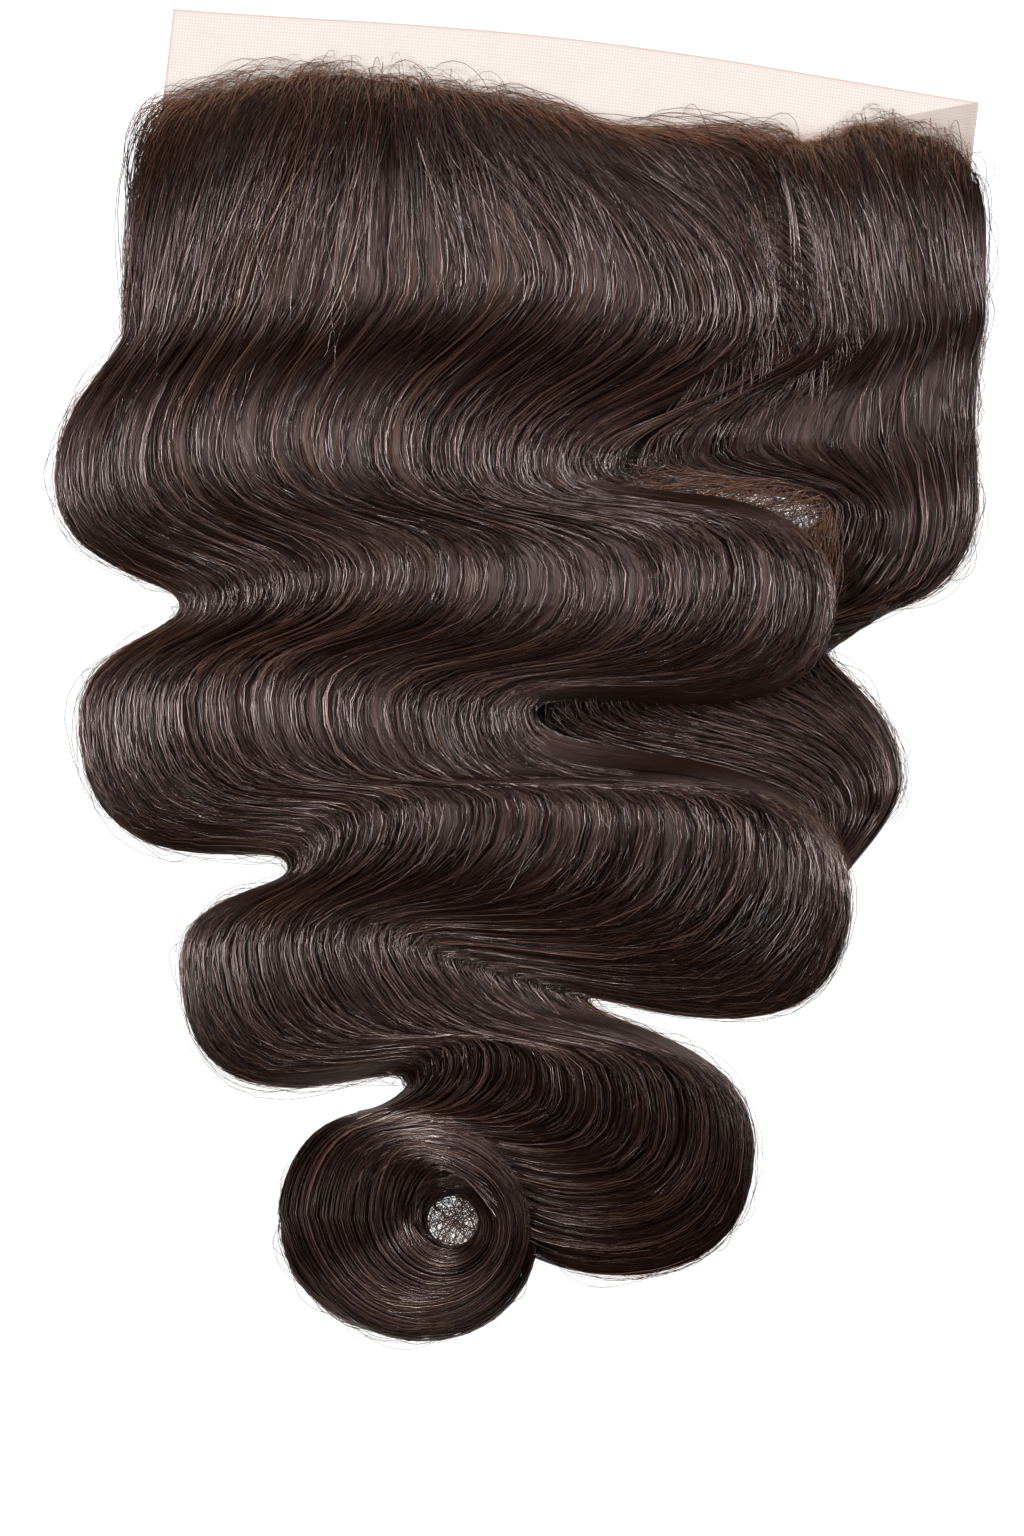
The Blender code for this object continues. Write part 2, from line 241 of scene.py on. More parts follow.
def heights(fall, plan, across, along):
    # Underside and top of a fall in mm at plan places. across and along broadcast to the plan.
    table = np.array(thickness[fall], float)
    left, middle, right = [np.interp(along, table[:, 0], table[:, k]) for k in (1, 2, 3)]
    u = np.clip(across, 0, 1)
    deep = np.where(u < 0.5, left + (middle - left) * 2 * u, middle + (right - middle) * (2 * u - 1))
    deep = deep - thickness["dip"] * (1 - np.abs(np.cos(np.pi * along))) * smooth(0.9, 1.4, along)
    past = np.maximum(distanceOutside(laceCorners, plan) - thickness["margin"], 0)
    low = np.maximum(thickness["overLace"] - thickness["drop"] * past, 0)
    if fall == "main":
        past = np.maximum(distanceOutside(sideOutline, plan) - thickness["margin"], 0)
        low = np.maximum(low, thickness["overSide"] - thickness["drop"] * past)
    top = low + deep * crownAcross(fall, across)
    if fall == "side":
        past = np.maximum(distanceOutside(coverOutline, plan) - thickness["margin"], 0)
        top = np.minimum(top, thickness["pressed"] + thickness["rise"] * past)
    return low, np.maximum(top, low + 1)


def ringHeight(s):
    # Height of the curl in mm a share s of the way from its outline to its hole: a blunted sine.
    return curl["height"] * np.sin(np.pi * (curl["lip"] + (1 - 2 * curl["lip"]) * s)) ** curl["blunt"]


def ringPlan(turn, s):
    # Plan places a share s of the way from the outline's ellipse to the hole's circle, per turn.
    outer = np.dstack([curl["centre"][0] + curl["radii"][0] * np.cos(turn),
                       curl["centre"][1] + curl["radii"][1] * np.sin(turn)])
    inner = np.dstack([curl["hole"][0] + curl["holeRadius"] * np.cos(turn),
                       curl["hole"][1] + curl["holeRadius"] * np.sin(turn)])
    return outer + (inner - outer) * s[..., None]


def curlHeight(plan):
    # Height of the curl in mm at free plan places, by their shares of the way to its hole.
    fromHole = np.linalg.norm(plan - np.array(curl["hole"]), axis=-1)
    outward = (plan - np.array(curl["centre"])) / np.array(curl["radii"])
    share = 1 - np.linalg.norm(outward, axis=-1)
    inner = np.clip((fromHole - curl["holeRadius"]) / 30, 0, 1)
    return ringHeight(np.clip(share / np.maximum(share + inner, 1e-6), 0, 1))


def windIn(start, turns, steps):
    # From the curl's left side inwards: the radius round the hole shrinks exponentially with the turn.
    away = start - np.array(curl["hole"])
    radius = np.linalg.norm(away, axis=1)[:, None]
    angle = np.arctan2(away[:, 1], away[:, 0])[:, None]
    turned = np.linspace(0, 1, steps + 1)[None, 1:] * turns[:, None] * 2 * math.pi
    radius = curl["holeRadius"] + (radius - curl["holeRadius"]) * np.exp(-curl["tightening"] * turned)
    angle = angle + turned
    return np.array(curl["hole"]) + np.stack([radius * np.cos(angle), radius * np.sin(angle)], axis=2)


# Bright bands and dull valleys along a strand: bends from the roots, then the shade there.
# In a valley a strand shines less and its tone is painted darker, as painted shade.
bands = {
    "main": ((0.0, 1.0), (0.42, 0.9), (0.68, 0.05), (1.05, 0.0), (1.45, 1.0), (1.7, 0.6), (2.0, 0.0),
             (2.3, 0.6), (2.55, 1.0), (2.8, 0.2), (3.0, 0.0), (3.3, 0.8), (3.55, 1.0), (3.8, 0.4),
             (4.0, 0.0), (4.3, 0.6), (4.5, 1.0), (4.75, 0.3), (4.95, 0.05), (5.25, 0.85), (5.5, 1.0),
             (5.8, 0.5), (6.0, 0.15), (6.35, 0.75), (6.65, 0.1), (6.9, 0.9), (7.6, 1.0), (8.2, 0.3),
             (8.8, 0.1), (9.3, 0.9)),
    "side": ((0.0, 1.0), (0.3, 0.7), (0.5, 0.0), (0.9, 0.1), (1.1, 0.85), (1.35, 0.8), (1.7, 0.3),
             (2.2, 0.5), (2.6, 0.8), (3.0, 0.4), (3.5, 0.9), (4.0, 0.8), (4.5, 0.3), (5.0, 0.2), (5.9, 0.6)),
    # painted shade: how much darker a strand's tone is painted in a valley
    "paintedValleyShade": 0.34,         # strands are this much darker in a valley
}


def bandShade(fall, along):
    table = np.array(bands[fall])
    return smooth(0, 1, np.interp(along, table[:, 0], table[:, 1]))


def curlShade(plan):
    # Bright at the curl's top and bottom, where the strands run across, and dull at its sides,
    # where the tone is also painted darker as painted shade.
    away = plan - np.array(curl["centre"])
    steep = np.abs(away[..., 1]) / np.maximum(np.linalg.norm(away, axis=-1), 1e-6)
    return 1 - smooth(0.35, 0.8, steep)


# Meshes from arrays of points.

def newMesh(name, points, quads, triangles, attributes, material):
    # Points, quads and triangles as arrays, and float attributes per point.
    mesh = bpy.data.meshes.new(name)
    mesh.vertices.add(len(points))
    mesh.vertices.foreach_set("co", np.ascontiguousarray(points, np.float32).ravel())
    loops = np.concatenate([quads.ravel(), triangles.ravel()]).astype(np.int32)
    mesh.loops.add(len(loops))
    mesh.loops.foreach_set("vertex_index", loops)
    sizes = np.concatenate([np.full(len(quads), 4), np.full(len(triangles), 3)])
    starts = np.concatenate([[0], np.cumsum(sizes)[:-1]]).astype(np.int32)
    mesh.polygons.add(len(sizes))
    mesh.polygons.foreach_set("loop_start", starts)
    mesh.update(calc_edges=True)
    mesh.polygons.foreach_set("use_smooth", np.ones(len(sizes), bool))
    for key, values in attributes.items():
        made = mesh.attributes.new(key, "FLOAT" if values.ndim == 1 else "FLOAT_VECTOR", "POINT")
        made.data.foreach_set("value" if values.ndim == 1 else "vector",
                              np.ascontiguousarray(values, np.float32).ravel())
    mesh.materials.append(material)
    mesh.validate()
    piece = bpy.data.objects.new(name, mesh)
    bpy.context.scene.collection.objects.link(piece)
    return piece


grainRun = 12       # grain units per metre along a strand, far fewer than across it


def ringQuads(strands, rings, size):
    # Quads between neighbouring rings of points of each strand, each ring closed.
    strand = np.arange(strands)[:, None, None] * rings * size
    ring = np.arange(rings - 1)[None, :, None] * size
    k = np.arange(size)[None, None, :]
    after = (k + 1) % size
    here = strand + ring
    return np.stack([here + k, here + after, here + size + after, here + size + k], axis=-1).reshape(-1, 4)


def tubeMesh(name, centre, radius, tone, shade, material):
    # Three-sided tubes along centre lines in mm, shape (strands, steps, 3), closed at both ends.
    # Shade runs from 0 in a bright band to 1 in a valley, where a strand shines less and its tone is painted
    # darker as painted shade.
    # Side is tangent x up and top is side x tangent, so one corner of each ring points up.
    tangent = np.gradient(centre, axis=1)
    tangent /= np.maximum(np.linalg.norm(tangent, axis=2, keepdims=True), 1e-9)
    side = np.cross(tangent, [0, 0, 1])
    side /= np.maximum(np.linalg.norm(side, axis=2, keepdims=True), 1e-9)
    top = np.cross(side, tangent)
    corner = np.radians([90, 210, 330])
    ring = (np.cos(corner)[:, None] * side[:, :, None, :] + np.sin(corner)[:, None] * top[:, :, None, :])
    points = centre[:, :, None, :] + ring * radius[:, :, None, None]
    strands, steps = centre.shape[:2]
    quads = ringQuads(strands, steps, 3)
    first = np.arange(strands)[:, None] * steps * 3
    caps = np.concatenate([first + [2, 1, 0], first + (steps - 1) * 3 + [0, 1, 2]])
    count = strands * steps * 3
    run = np.cumsum(np.linalg.norm(np.diff(centre, axis=1, prepend=centre[:, :1]), axis=2), axis=1)
    dullShade = np.broadcast_to(shade, radius.shape)
    # Painted shade: the tone is made darker by the shade.
    tones = np.repeat((tone[:, None] - bands["paintedValleyShade"] * dullShade).ravel(), 3)
    along = np.repeat((run + tone[:, None] * 500).ravel(), 3)
    across = np.repeat(tone, steps * 3) * 400
    across = across + np.tile([0.0, 1.0, -1.0], strands * steps) * np.repeat(radius.ravel(), 3) * 3
    grain = np.stack([across, along * mm * grainRun, np.zeros(count)], axis=1)
    return newMesh(name, points.reshape(-1, 3) * mm, quads, caps,
                   {"tone": tones, "dullShade": np.repeat(dullShade.ravel(), 3), "grain": grain}, material)


# Materials.

def newMaterial(name):
    material = bpy.data.materials.new(name)
    material.use_nodes = True
    return material, material.node_tree.nodes, material.node_tree.links


strandTones = {
    "dark": (0.0045, 0.0019, 0.0012),
    "middle": (0.022, 0.0100, 0.0066),
    "warm": (0.055, 0.0295, 0.0205),
    "glint": (1.0, 0.84, 0.82),
    # painted light: free single hairs are mixed towards this lighter colour, as if lit through
    "loose": (0.085, 0.040, 0.025),     # light shines through single hairs
}


strandGrain = {
    "fineDetail": 3,
    "fineRoughness": 0.7,
    "coarseDetail": 1,
    "coarseScale": 0.21,        # of the fine noise's scale
    "coarseShare": 0.45,
    "stops": (0.15, 0.55, 0.95),    # tones at which dark, middle and warm stand
    "roughSwing": 0.1,
    "valleyShine": 0.06,        # share of the shine that a valley keeps
}


def strandGroup():
    # Colour and relief of fine strands: noise that is stretched along the grain coordinate.
    group = bpy.data.node_groups.new("hairGrain", "ShaderNodeTree")
    face = group.interface
    face.new_socket("Grain", in_out="INPUT", socket_type="NodeSocketVector")
    face.new_socket("Tone", in_out="INPUT", socket_type="NodeSocketFloat")
    face.new_socket("Fineness", in_out="INPUT", socket_type="NodeSocketFloat")
    face.new_socket("Spread", in_out="INPUT", socket_type="NodeSocketFloat")
    face.new_socket("Colour", in_out="OUTPUT", socket_type="NodeSocketColor")
    face.new_socket("Relief", in_out="OUTPUT", socket_type="NodeSocketFloat")
    nodes, links = group.nodes, group.links
    into = nodes.new("NodeGroupInput")
    out = nodes.new("NodeGroupOutput")
    fine = nodes.new("ShaderNodeTexNoise")
    fine.inputs["Detail"].default_value = strandGrain["fineDetail"]
    fine.inputs["Roughness"].default_value = strandGrain["fineRoughness"]
    links.new(into.outputs["Grain"], fine.inputs["Vector"])
    links.new(into.outputs["Fineness"], fine.inputs["Scale"])
    spread = nodes.new("ShaderNodeMath")
    spread.operation = "MULTIPLY_ADD"       # (noise - half) x spread + tone
    coarse = nodes.new("ShaderNodeTexNoise")
    coarse.inputs["Detail"].default_value = strandGrain["coarseDetail"]
    wide = nodes.new("ShaderNodeMath")
    wide.operation = "MULTIPLY"
    wide.inputs[1].default_value = strandGrain["coarseScale"]
    links.new(into.outputs["Fineness"], wide.inputs[0])
    links.new(into.outputs["Grain"], coarse.inputs["Vector"])
    links.new(wide.outputs[0], coarse.inputs["Scale"])
    both = nodes.new("ShaderNodeMix")
    both.inputs[0].default_value = strandGrain["coarseShare"]
    links.new(fine.outputs["Fac"], both.inputs[2])
    links.new(coarse.outputs["Fac"], both.inputs[3])
    centred = nodes.new("ShaderNodeMath")
    centred.operation = "SUBTRACT"
    links.new(both.outputs[0], centred.inputs[0])
    centred.inputs[1].default_value = 0.5
    links.new(centred.outputs[0], spread.inputs[0])
    links.new(into.outputs["Spread"], spread.inputs[1])
    links.new(into.outputs["Tone"], spread.inputs[2])
    ramp = nodes.new("ShaderNodeValToRGB")
    first, middle, last = strandGrain["stops"]
    ramp.color_ramp.elements[0].position = first
    ramp.color_ramp.elements[0].color = (*strandTones["dark"], 1)
    ramp.color_ramp.elements[1].position = last
    ramp.color_ramp.elements[1].color = (*strandTones["warm"], 1)
    ramp.color_ramp.elements.new(middle).color = (*strandTones["middle"], 1)
    links.new(spread.outputs[0], ramp.inputs["Fac"])
    links.new(ramp.outputs["Color"], out.inputs["Colour"])
    links.new(fine.outputs["Fac"], out.inputs["Relief"])
    return group


hairGrain = strandGroup()


def hairMaterial(name, fineness, spread, rough, relief, shine, paintedThrough):
    # Satin hair: grain, tone and dullness come from the piece's own attributes. Dullness lowers the shine
    # and holds back the painted lit-through colour; the tone already holds the painted shade.
    material, nodes, links = newMaterial(name)
    shader = nodes["Principled BSDF"]
    grain = nodes.new("ShaderNodeAttribute")
    grain.attribute_name = "grain"
    group = nodes.new("ShaderNodeGroup")
    group.node_tree = hairGrain
    group.inputs["Fineness"].default_value = fineness
    group.inputs["Spread"].default_value = spread
    links.new(grain.outputs["Vector"], group.inputs["Grain"])
    own = nodes.new("ShaderNodeAttribute")
    own.attribute_name = "tone"
    links.new(own.outputs["Fac"], group.inputs["Tone"])
    dullShade = nodes.new("ShaderNodeAttribute")
    dullShade.attribute_name = "dullShade"
    # Painted light: where a hair stands free, its colour is mixed towards the lighter loose colour, as if
    # light shone through it.
    if paintedThrough:         # only where a hair stands free is it lit through
        free = nodes.new("ShaderNodeMath")
        free.operation = "SUBTRACT"
        free.inputs[0].default_value = 1
        links.new(dullShade.outputs["Fac"], free.inputs[1])
        share = nodes.new("ShaderNodeMath")
        share.operation = "MULTIPLY"
        links.new(group.outputs["Relief"], share.inputs[0])
        links.new(free.outputs[0], share.inputs[1])
        paintedLit = nodes.new("ShaderNodeMix")
        paintedLit.data_type = "RGBA"
        paintedLit.inputs[7].default_value = (*strandTones["loose"], 1)
        links.new(share.outputs[0], paintedLit.inputs[0])
        links.new(group.outputs["Colour"], paintedLit.inputs[6])
        links.new(paintedLit.outputs[2], shader.inputs["Base Color"])
    else:
        links.new(group.outputs["Colour"], shader.inputs["Base Color"])
    roughness = nodes.new("ShaderNodeMapRange")
    roughness.inputs["To Min"].default_value = rough - strandGrain["roughSwing"]
    roughness.inputs["To Max"].default_value = rough + strandGrain["roughSwing"]
    links.new(group.outputs["Relief"], roughness.inputs["Value"])
    links.new(roughness.outputs["Result"], shader.inputs["Roughness"])
    gloss = nodes.new("ShaderNodeMapRange")     # valleys shine less
    gloss.inputs["To Min"].default_value = shine
    gloss.inputs["To Max"].default_value = shine * strandGrain["valleyShine"]
    links.new(dullShade.outputs["Fac"], gloss.inputs["Value"])
    links.new(gloss.outputs["Result"], shader.inputs["Specular IOR Level"])
    shader.inputs["Specular Tint"].default_value = (*strandTones["glint"], 1)
    if relief:
        bump = nodes.new("ShaderNodeBump")
        bump.inputs["Strength"].default_value = 1.0
        bump.inputs["Distance"].default_value = relief
        links.new(group.outputs["Relief"], bump.inputs["Height"])
        links.new(bump.outputs["Normal"], shader.inputs["Normal"])
    return material


# The last column paints free hairs lighter, as painted light shining through them.
finishes = {                # fineness, spread of tones, roughness, relief in m, shine, lit through
    "hairBody": (1.0, 2.6, 0.45, 0.0006, 0.18, False),
    "hairStrands": (1.0, 0.7, 0.29, 0.0002, 1.0, False),
    "hairFine": (3.0, 0.3, 0.45, 0.0, 0.03, True),
}
hairBody, hairStrands, hairFine = [hairMaterial(name, *finish) for name, finish in finishes.items()]
print("materials made")


# The body of each lock: a smooth crowned form with combed relief.
bodies = {
    "stepsAcross": 14,
    "stepsPerBend": 16,
    "sunk": 0.7,            # mm, the combed strands stand this far over it
    "start": 0.07,          # in bends from the roots
    "ends": {"main": 8.3, "side": 5.85},
    "ragged": 0.07,         # how far the front edge differs, in bends
    "raggedWaves": ((97, 0, 0.28), (211, 2, 0.22)),     # waves across, phase and share
    "grainRows": 420,       # strands across a fall in the relief
    "tone": 0.3,
}


def lockBody(name, fall, across, along):
    # Ring of points at each step: across the top at the fall's height, then back underneath.
    # The front is ragged and thin: its start differs by sines of the place across.
    waves = [share * np.sin(across * count + phase) for count, phase, share in bodies["raggedWaves"]]
    ragged = 0.5 + sum(waves)
    along = along[None, :] + bodies["ragged"] * ragged[:, None] * (1 - smooth(0, 1.0, along))[None, :]
    plan = strandPlan(flow[fall], across, along)
    low, top = heights(fall, plan, across[:, None], along)
    top = np.maximum(top - bodies["sunk"], low + 0.5)
    top = low + 0.4 + (top - low - 0.4) * smooth(-0.02, 0.3, along)
    upper = np.dstack([plan, top])
    lower = np.dstack([plan, low])[::-1]
    rings = np.swapaxes(np.concatenate([upper, lower]), 0, 1)
    size, count = rings.shape[1], rings.shape[0]
    quads = ringQuads(1, count, size)
    half = np.arange(len(across) - 1)
    capA = np.stack([half, half + 1, size - 2 - half, size - 1 - half], axis=1)
    last = (count - 1) * size
    quads = np.concatenate([quads, capA[:, ::-1], capA + last])
    run = np.cumsum(np.linalg.norm(np.diff(plan, axis=1, prepend=plan[:, :1]), axis=2), axis=1)
    wide = across[:, None] * bodies["grainRows"] + 0 * run
    grainTop = np.dstack([wide, run * mm * grainRun, 0 * run])
    grain = np.swapaxes(np.concatenate([grainTop, grainTop[::-1]]), 0, 1).reshape(-1, 3)
    dullShade = bandShade(fall, along)
    # Painted shade: the underside ring is fully dull, so the walls shine less and are painted darker towards
    # the floor.
    dullShade = np.swapaxes(np.concatenate([dullShade, 0 * dullShade + 1]), 0, 1).ravel()      # dull at the floor
    return newMesh(name, rings.reshape(-1, 3) * mm, quads[:, ::-1], np.zeros((0, 3), int),
                   {"grain": grain, "dullShade": dullShade, "tone": bodies["tone"] - bands["paintedValleyShade"] * dullShade}, hairBody)


def dressBodies():
    for fall, end in bodies["ends"].items():
        count = thickness["locks"][fall]
        steps = int(bodies["stepsPerBend"] * end)
        for k in range(count):
            across = np.linspace(k / count, (k + 1) / count, bodies["stepsAcross"] + 1)
            piece = lockBody(f"{fall}Body{k + 1}", fall, across, np.linspace(bodies["start"], end, steps))
            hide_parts(f"{fall}_fall_{k + 1}")
            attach(piece, "root")


dressBodies()
print("lock bodies made")


def curlBody():
    # Ring between the outline and the hole, raised to the curl's height and closed underneath.
    turn = np.linspace(0, 2 * math.pi, curl["steps"][0], endpoint=False)[:, None]
    s = np.linspace(0, 1, curl["steps"][1])[None, :]
    plan = ringPlan(turn, s)
    height = ringHeight(s) + 0 * turn - bodies["sunk"]
    upper = np.dstack([plan, height])
    lower = np.dstack([plan, 0 * height])[:, ::-1]
    rings = np.concatenate([upper, lower], axis=1)
    count, size = rings.shape[:2]
    here = np.arange(count)[:, None] * size
    there = (np.arange(count)[:, None] + 1) % count * size
    k = np.arange(size)[None, :]
    after = (k + 1) % size
    quads = np.stack([here + k, here + after, there + after, there + k], axis=-1).reshape(-1, 4)
    # The grain runs round: s across, and the turn's sine and cosine along.
    grainTop = np.dstack([s * 46 + 0 * turn, 0.8 * np.sin(turn) + 0 * s, 0.8 * np.cos(turn) + 0 * s])
    grain = np.concatenate([grainTop, grainTop[:, ::-1]], axis=1).reshape(-1, 3)
    # Painted shade: the curl is duller and painted darker at its sides.
    dullShade = curlShade(plan)
    dullShade = np.concatenate([dullShade, dullShade[:, ::-1]], axis=1).ravel()
    piece = newMesh("curlBody", rings.reshape(-1, 3) * mm, quads[:, ::-1], np.zeros((0, 3), int),
                    {"grain": grain, "dullShade": dullShade, "tone": bodies["tone"] - bands["paintedValleyShade"] * dullShade}, hairBody)
    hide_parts("end_curl")
    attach(piece, "root")


curlBody()
print("curl body made")


# Combed strands that lie along the falls and into the curl.
comb = {
    "tufts": {"main": 84, "side": 30},      # across each fall
    "pull": 0.26,           # how much a strand is drawn to the middle of its tuft
    "pullWaves": (1.3, 2.4),    # radians per bend and per tuft in which the pull swells and fades
    "swayWaves": ((0.3, 1.0), (0.8, 0.5), (1.9, 0.22)),     # waves per bend and share
    "tuftWander": {"main": 0.006, "side": 0.018},   # share of the fall's width
    "strandWander": {"main": 0.0035, "side": 0.009},
    "tuftRise": 0.55,       # mm up or down
    "tuftTone": 0.12,
    "parting": 0.40,        # where the roots part, across the main fall
    "partingSharp": 4,
    "fan": 0.17,            # how far a strand swings away from the parting before the first bend
    "fanSpread": 0.03,
    "sideFan": 0.2,
    "fanEnd": {"main": 1.15, "side": 1.1},      # bends from the roots
    "fanFade": 1.3,
    "edgeShare": 0.45,      # the strands stand closer at a fall's edges by this share
    "bandShift": (0.07, 0.06),      # how far a band's edge differs by tuft and by strand, in bends
    "stepsPerBend": 7,
    "spanBends": 2.3,
    "crowding": 0.45,       # how much closer the steps stand at the bends
    "radius": (0.14, 0.31), # mm
    "depth": (-0.6, 1.1),   # mm below the combed surface
    "endSink": 1.2,         # mm further down at a strand's ends
    "thin": 8.0,            # mm of hair under which strands rise and sink less
    "main": 3600,
    "side": 770,
    "edgeFill": 150,        # at each edge of the main fall
    "wall": 110,            # down each side of a fall
    # painted shade: a tuft that lies low is also painted darker
    "lowTuftShade": 0.3,        # a tuft that lies low shines less
    "plainShare": 0.37,     # strands that shine less all along
    "plainDull": 0.85,
}


def planAt(bends, across, along):
    # Plan places where across changes along each strand: a blend of fixed strands at 241 places.
    stands = np.linspace(-0.02, 1.02, 241)
    table = strandPlan(bends, stands, np.linspace(-0.25, len(bends) - 1, 900), flow["combGrow"])
    x = np.clip((across - stands[0]) / (stands[1] - stands[0]), 0, len(stands) - 1.001)
    y = np.clip((along + 0.25) / (len(bends) - 1 + 0.25) * 899, 0, 898.999)
    i, j = x.astype(int), y.astype(int)
    s, t = (x - i)[..., None], (y - j)[..., None]
    return ((table[i, j] * (1 - s) + table[i + 1, j] * s) * (1 - t)
            + (table[i, j + 1] * (1 - s) + table[i + 1, j + 1] * s) * t)


def sway(count, along):
    # Slow drift about 0: three sine waves of different length with random phases.
    drift = 0 * along
    for waves, share in comb["swayWaves"]:
        phase = rng.uniform(0, 2 * math.pi, (count, 1))
        drift = drift + share * np.sin(2 * math.pi * waves * along + phase)
    return drift


def makeTufts(fall):
    # Sway, rise and tone of every tuft of a fall, shared by all strands in it.
    count = comb["tufts"][fall]
    steady = np.broadcast_to(np.linspace(0, 11, 400), (count, 400))
    return sway(count, steady), sway(count, steady), rng.normal(0, 1, count)


tufts = {"main": makeTufts("main"), "side": makeTufts("side")}


def tufted(fall, across, along):
    # Each strand runs with its tuft: drawn to the tuft's middle by a share that swells and fades,
    # and swaying with it. Gives the place across the fall, the tuft's rise in mm and its tone.
    count = comb["tufts"][fall]
    swayAll, riseAll, toneAll = tufts[fall]
    tuft = np.clip((across * count).astype(int), 0, count - 1)
    step = np.clip(along / 11 * 399, 0, 398.99).astype(int)
    middle = ((tuft + 0.5) / count)[:, None]
    perBend, perTuft = comb["pullWaves"]
    drawn = comb["pull"] * (0.5 + 0.5 * np.sin(perBend * along + perTuft * tuft[:, None]))
    place = across[:, None] + (middle - across[:, None]) * drawn
    place = place + comb["tuftWander"][fall] * swayAll[tuft[:, None], step]
    place = place + comb["strandWander"][fall] * sway(len(across), along)
    fade = (1 - np.clip(along / comb["fanEnd"][fall], 0, 1)) ** comb["fanFade"]
    if fall == "main":      # away from the parting over the first bend, less at the left edge
        away = np.tanh((across[:, None] - comb["parting"]) * comb["partingSharp"])
        swing = comb["fan"] * away * (1 - np.maximum(1 - 2 * across[:, None], 0) ** 4)
        swing = swing + rng.normal(0, comb["fanSpread"], (len(across), 1))
        place = place - swing * fade
    else:
        place = place - comb["sideFan"] * fade
    return np.clip(place, 0.0005, 0.9995), comb["tuftRise"] * riseAll[tuft[:, None], step], toneAll[tuft]


def taper(steps, sharp):
    # Full width in the middle of a strand, thin at both ends.
    t = np.linspace(0, 1, steps)
    return np.minimum(1, np.minimum(t, 1 - t) * sharp + 0.08)[None, :]


def strandTone(count, tuftTone=0):
    return np.clip(rng.beta(1.6, 2.4, count) + comb["tuftTone"] * tuftTone, 0.02, 0.98)


def layStrands(name, plan, height, radius, tone, material, shade=0):
    steps = plan.shape[1]
    wide = rng.uniform(*radius, len(plan))[:, None] * taper(steps, 8)
    piece = tubeMesh(name, np.dstack([plan, height]), wide, tone, shade, material)
    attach(piece, "root")
    return piece


def combFall(name, fall, count, end):
    # Random starts, each strand under way for some bends and sunk at its ends.
    across = rng.permutation((np.arange(count) + rng.random(count)) / count)
    across = across - comb["edgeShare"] * np.sin(2 * math.pi * across) / (2 * math.pi)
    span = comb["spanBends"]
    starts = rng.uniform(-0.45 * span, end - 0.4 * span, count)
    begin = np.maximum(starts, rng.uniform(-0.05, 0.1, count))
    finish = np.minimum(starts + span, end)
    steps = int(comb["stepsPerBend"] * span)
    along = begin[:, None] + (finish - begin)[:, None] * np.linspace(0, 1, steps)[None, :]
    along = along - comb["crowding"] * np.sin(2 * math.pi * along) / (2 * math.pi)
    place, rise, tuftTone = tufted(fall, across, along)
    plan = planAt(flow[fall], place, along)
    low, top = heights(fall, plan, place, along)
    deep = rng.uniform(*comb["depth"], count)[:, None]
    ends = np.abs(np.linspace(-1, 1, steps))[None, :] ** 8 * comb["endSink"]
    shallow = np.minimum(1, (top - low) / comb["thin"])
    height = np.maximum(top + (rise - deep - ends * (along > 0.3)) * shallow, low + 0.2)
    byTuft, byStrand = comb["bandShift"]
    shift = byTuft * rise / comb["tuftRise"] + rng.normal(0, byStrand, (count, 1))
    # Painted shade: in the valleys and in low tufts the strands shine less and are painted darker.
    shade = bandShade(fall, along + shift) + comb["lowTuftShade"] * np.clip(-rise / comb["tuftRise"], 0, 1)
    plain = comb["plainDull"] * (rng.random((count, 1)) < comb["plainShare"])
    shade = np.clip(np.maximum(shade, plain), 0, 1)
    return layStrands(name, plan, height, comb["radius"], strandTone(count, tuftTone), hairStrands, shade)


def edgeFill(name, low, high, first, last):
    # More strands along one edge of the main fall, where its bends open wide.
    count, steps = comb["edgeFill"], 15
    across = rng.uniform(low, high, count)
    begin = rng.uniform(first, last - 1.2, count)
    along = begin[:, None] + rng.uniform(1.0, 1.7, count)[:, None] * np.linspace(0, 1, steps)
    place = np.clip(across[:, None] + 0.012 * sway(count, along), 0.002, 0.998)
    plan = planAt(flow["main"], place, along)
    bottom, top = heights("main", plan, place, along)
    height = np.maximum(top - rng.uniform(-0.3, 0.6, (count, 1)), bottom + 0.3)
    shade = bandShade("main", along)
    return layStrands(name, plan, height, comb["radius"], strandTone(count), hairStrands, shade)


def wallStrands(name, fall, edge, first, last):
    # Down the outer side of a fall, between its underside and its top by a random share.
    count, steps = comb["wall"], 14
    begin = rng.uniform(first, last - 0.9, count)
    along = begin[:, None] + rng.uniform(0.7, 1.4, count)[:, None] * np.linspace(0, 1, steps)
    along = np.minimum(along, last)
    place = np.full(along.shape, float(edge))
    plan = planAt(flow[fall], place, along)
    bottom, top = heights(fall, plan, place, along)
    height = bottom + (top - bottom) * rng.uniform(0.05, 0.95, (count, 1)) + 0.3 * sway(count, along)
    height = np.maximum(height, bottom + 0.35)
    # Painted shade: strands down a fall's side are at least half dull, so they shine less and are painted
    # darker.
    shade = np.maximum(bandShade(fall, along), 0.5)
    return layStrands(name, plan, height, comb["radius"], strandTone(count), hairStrands, shade)


for k in range(4):
    combFall(f"mainStrands{k + 1}", "main", comb["main"] // 4, 8.2)
combFall("sideStrands", "side", comb["side"], 5.9)
edgeFill("edgeFillLeft", 0.0, 0.16, 1.4, 7.2)
edgeFill("edgeFillRight", 0.82, 0.99, 3.3, 7.8)
wallStrands("wallLeft", "main", 0, 0.2, 7.4)
wallStrands("wallRight", "main", 1, 0.2, 7.9)
print("falls combed")


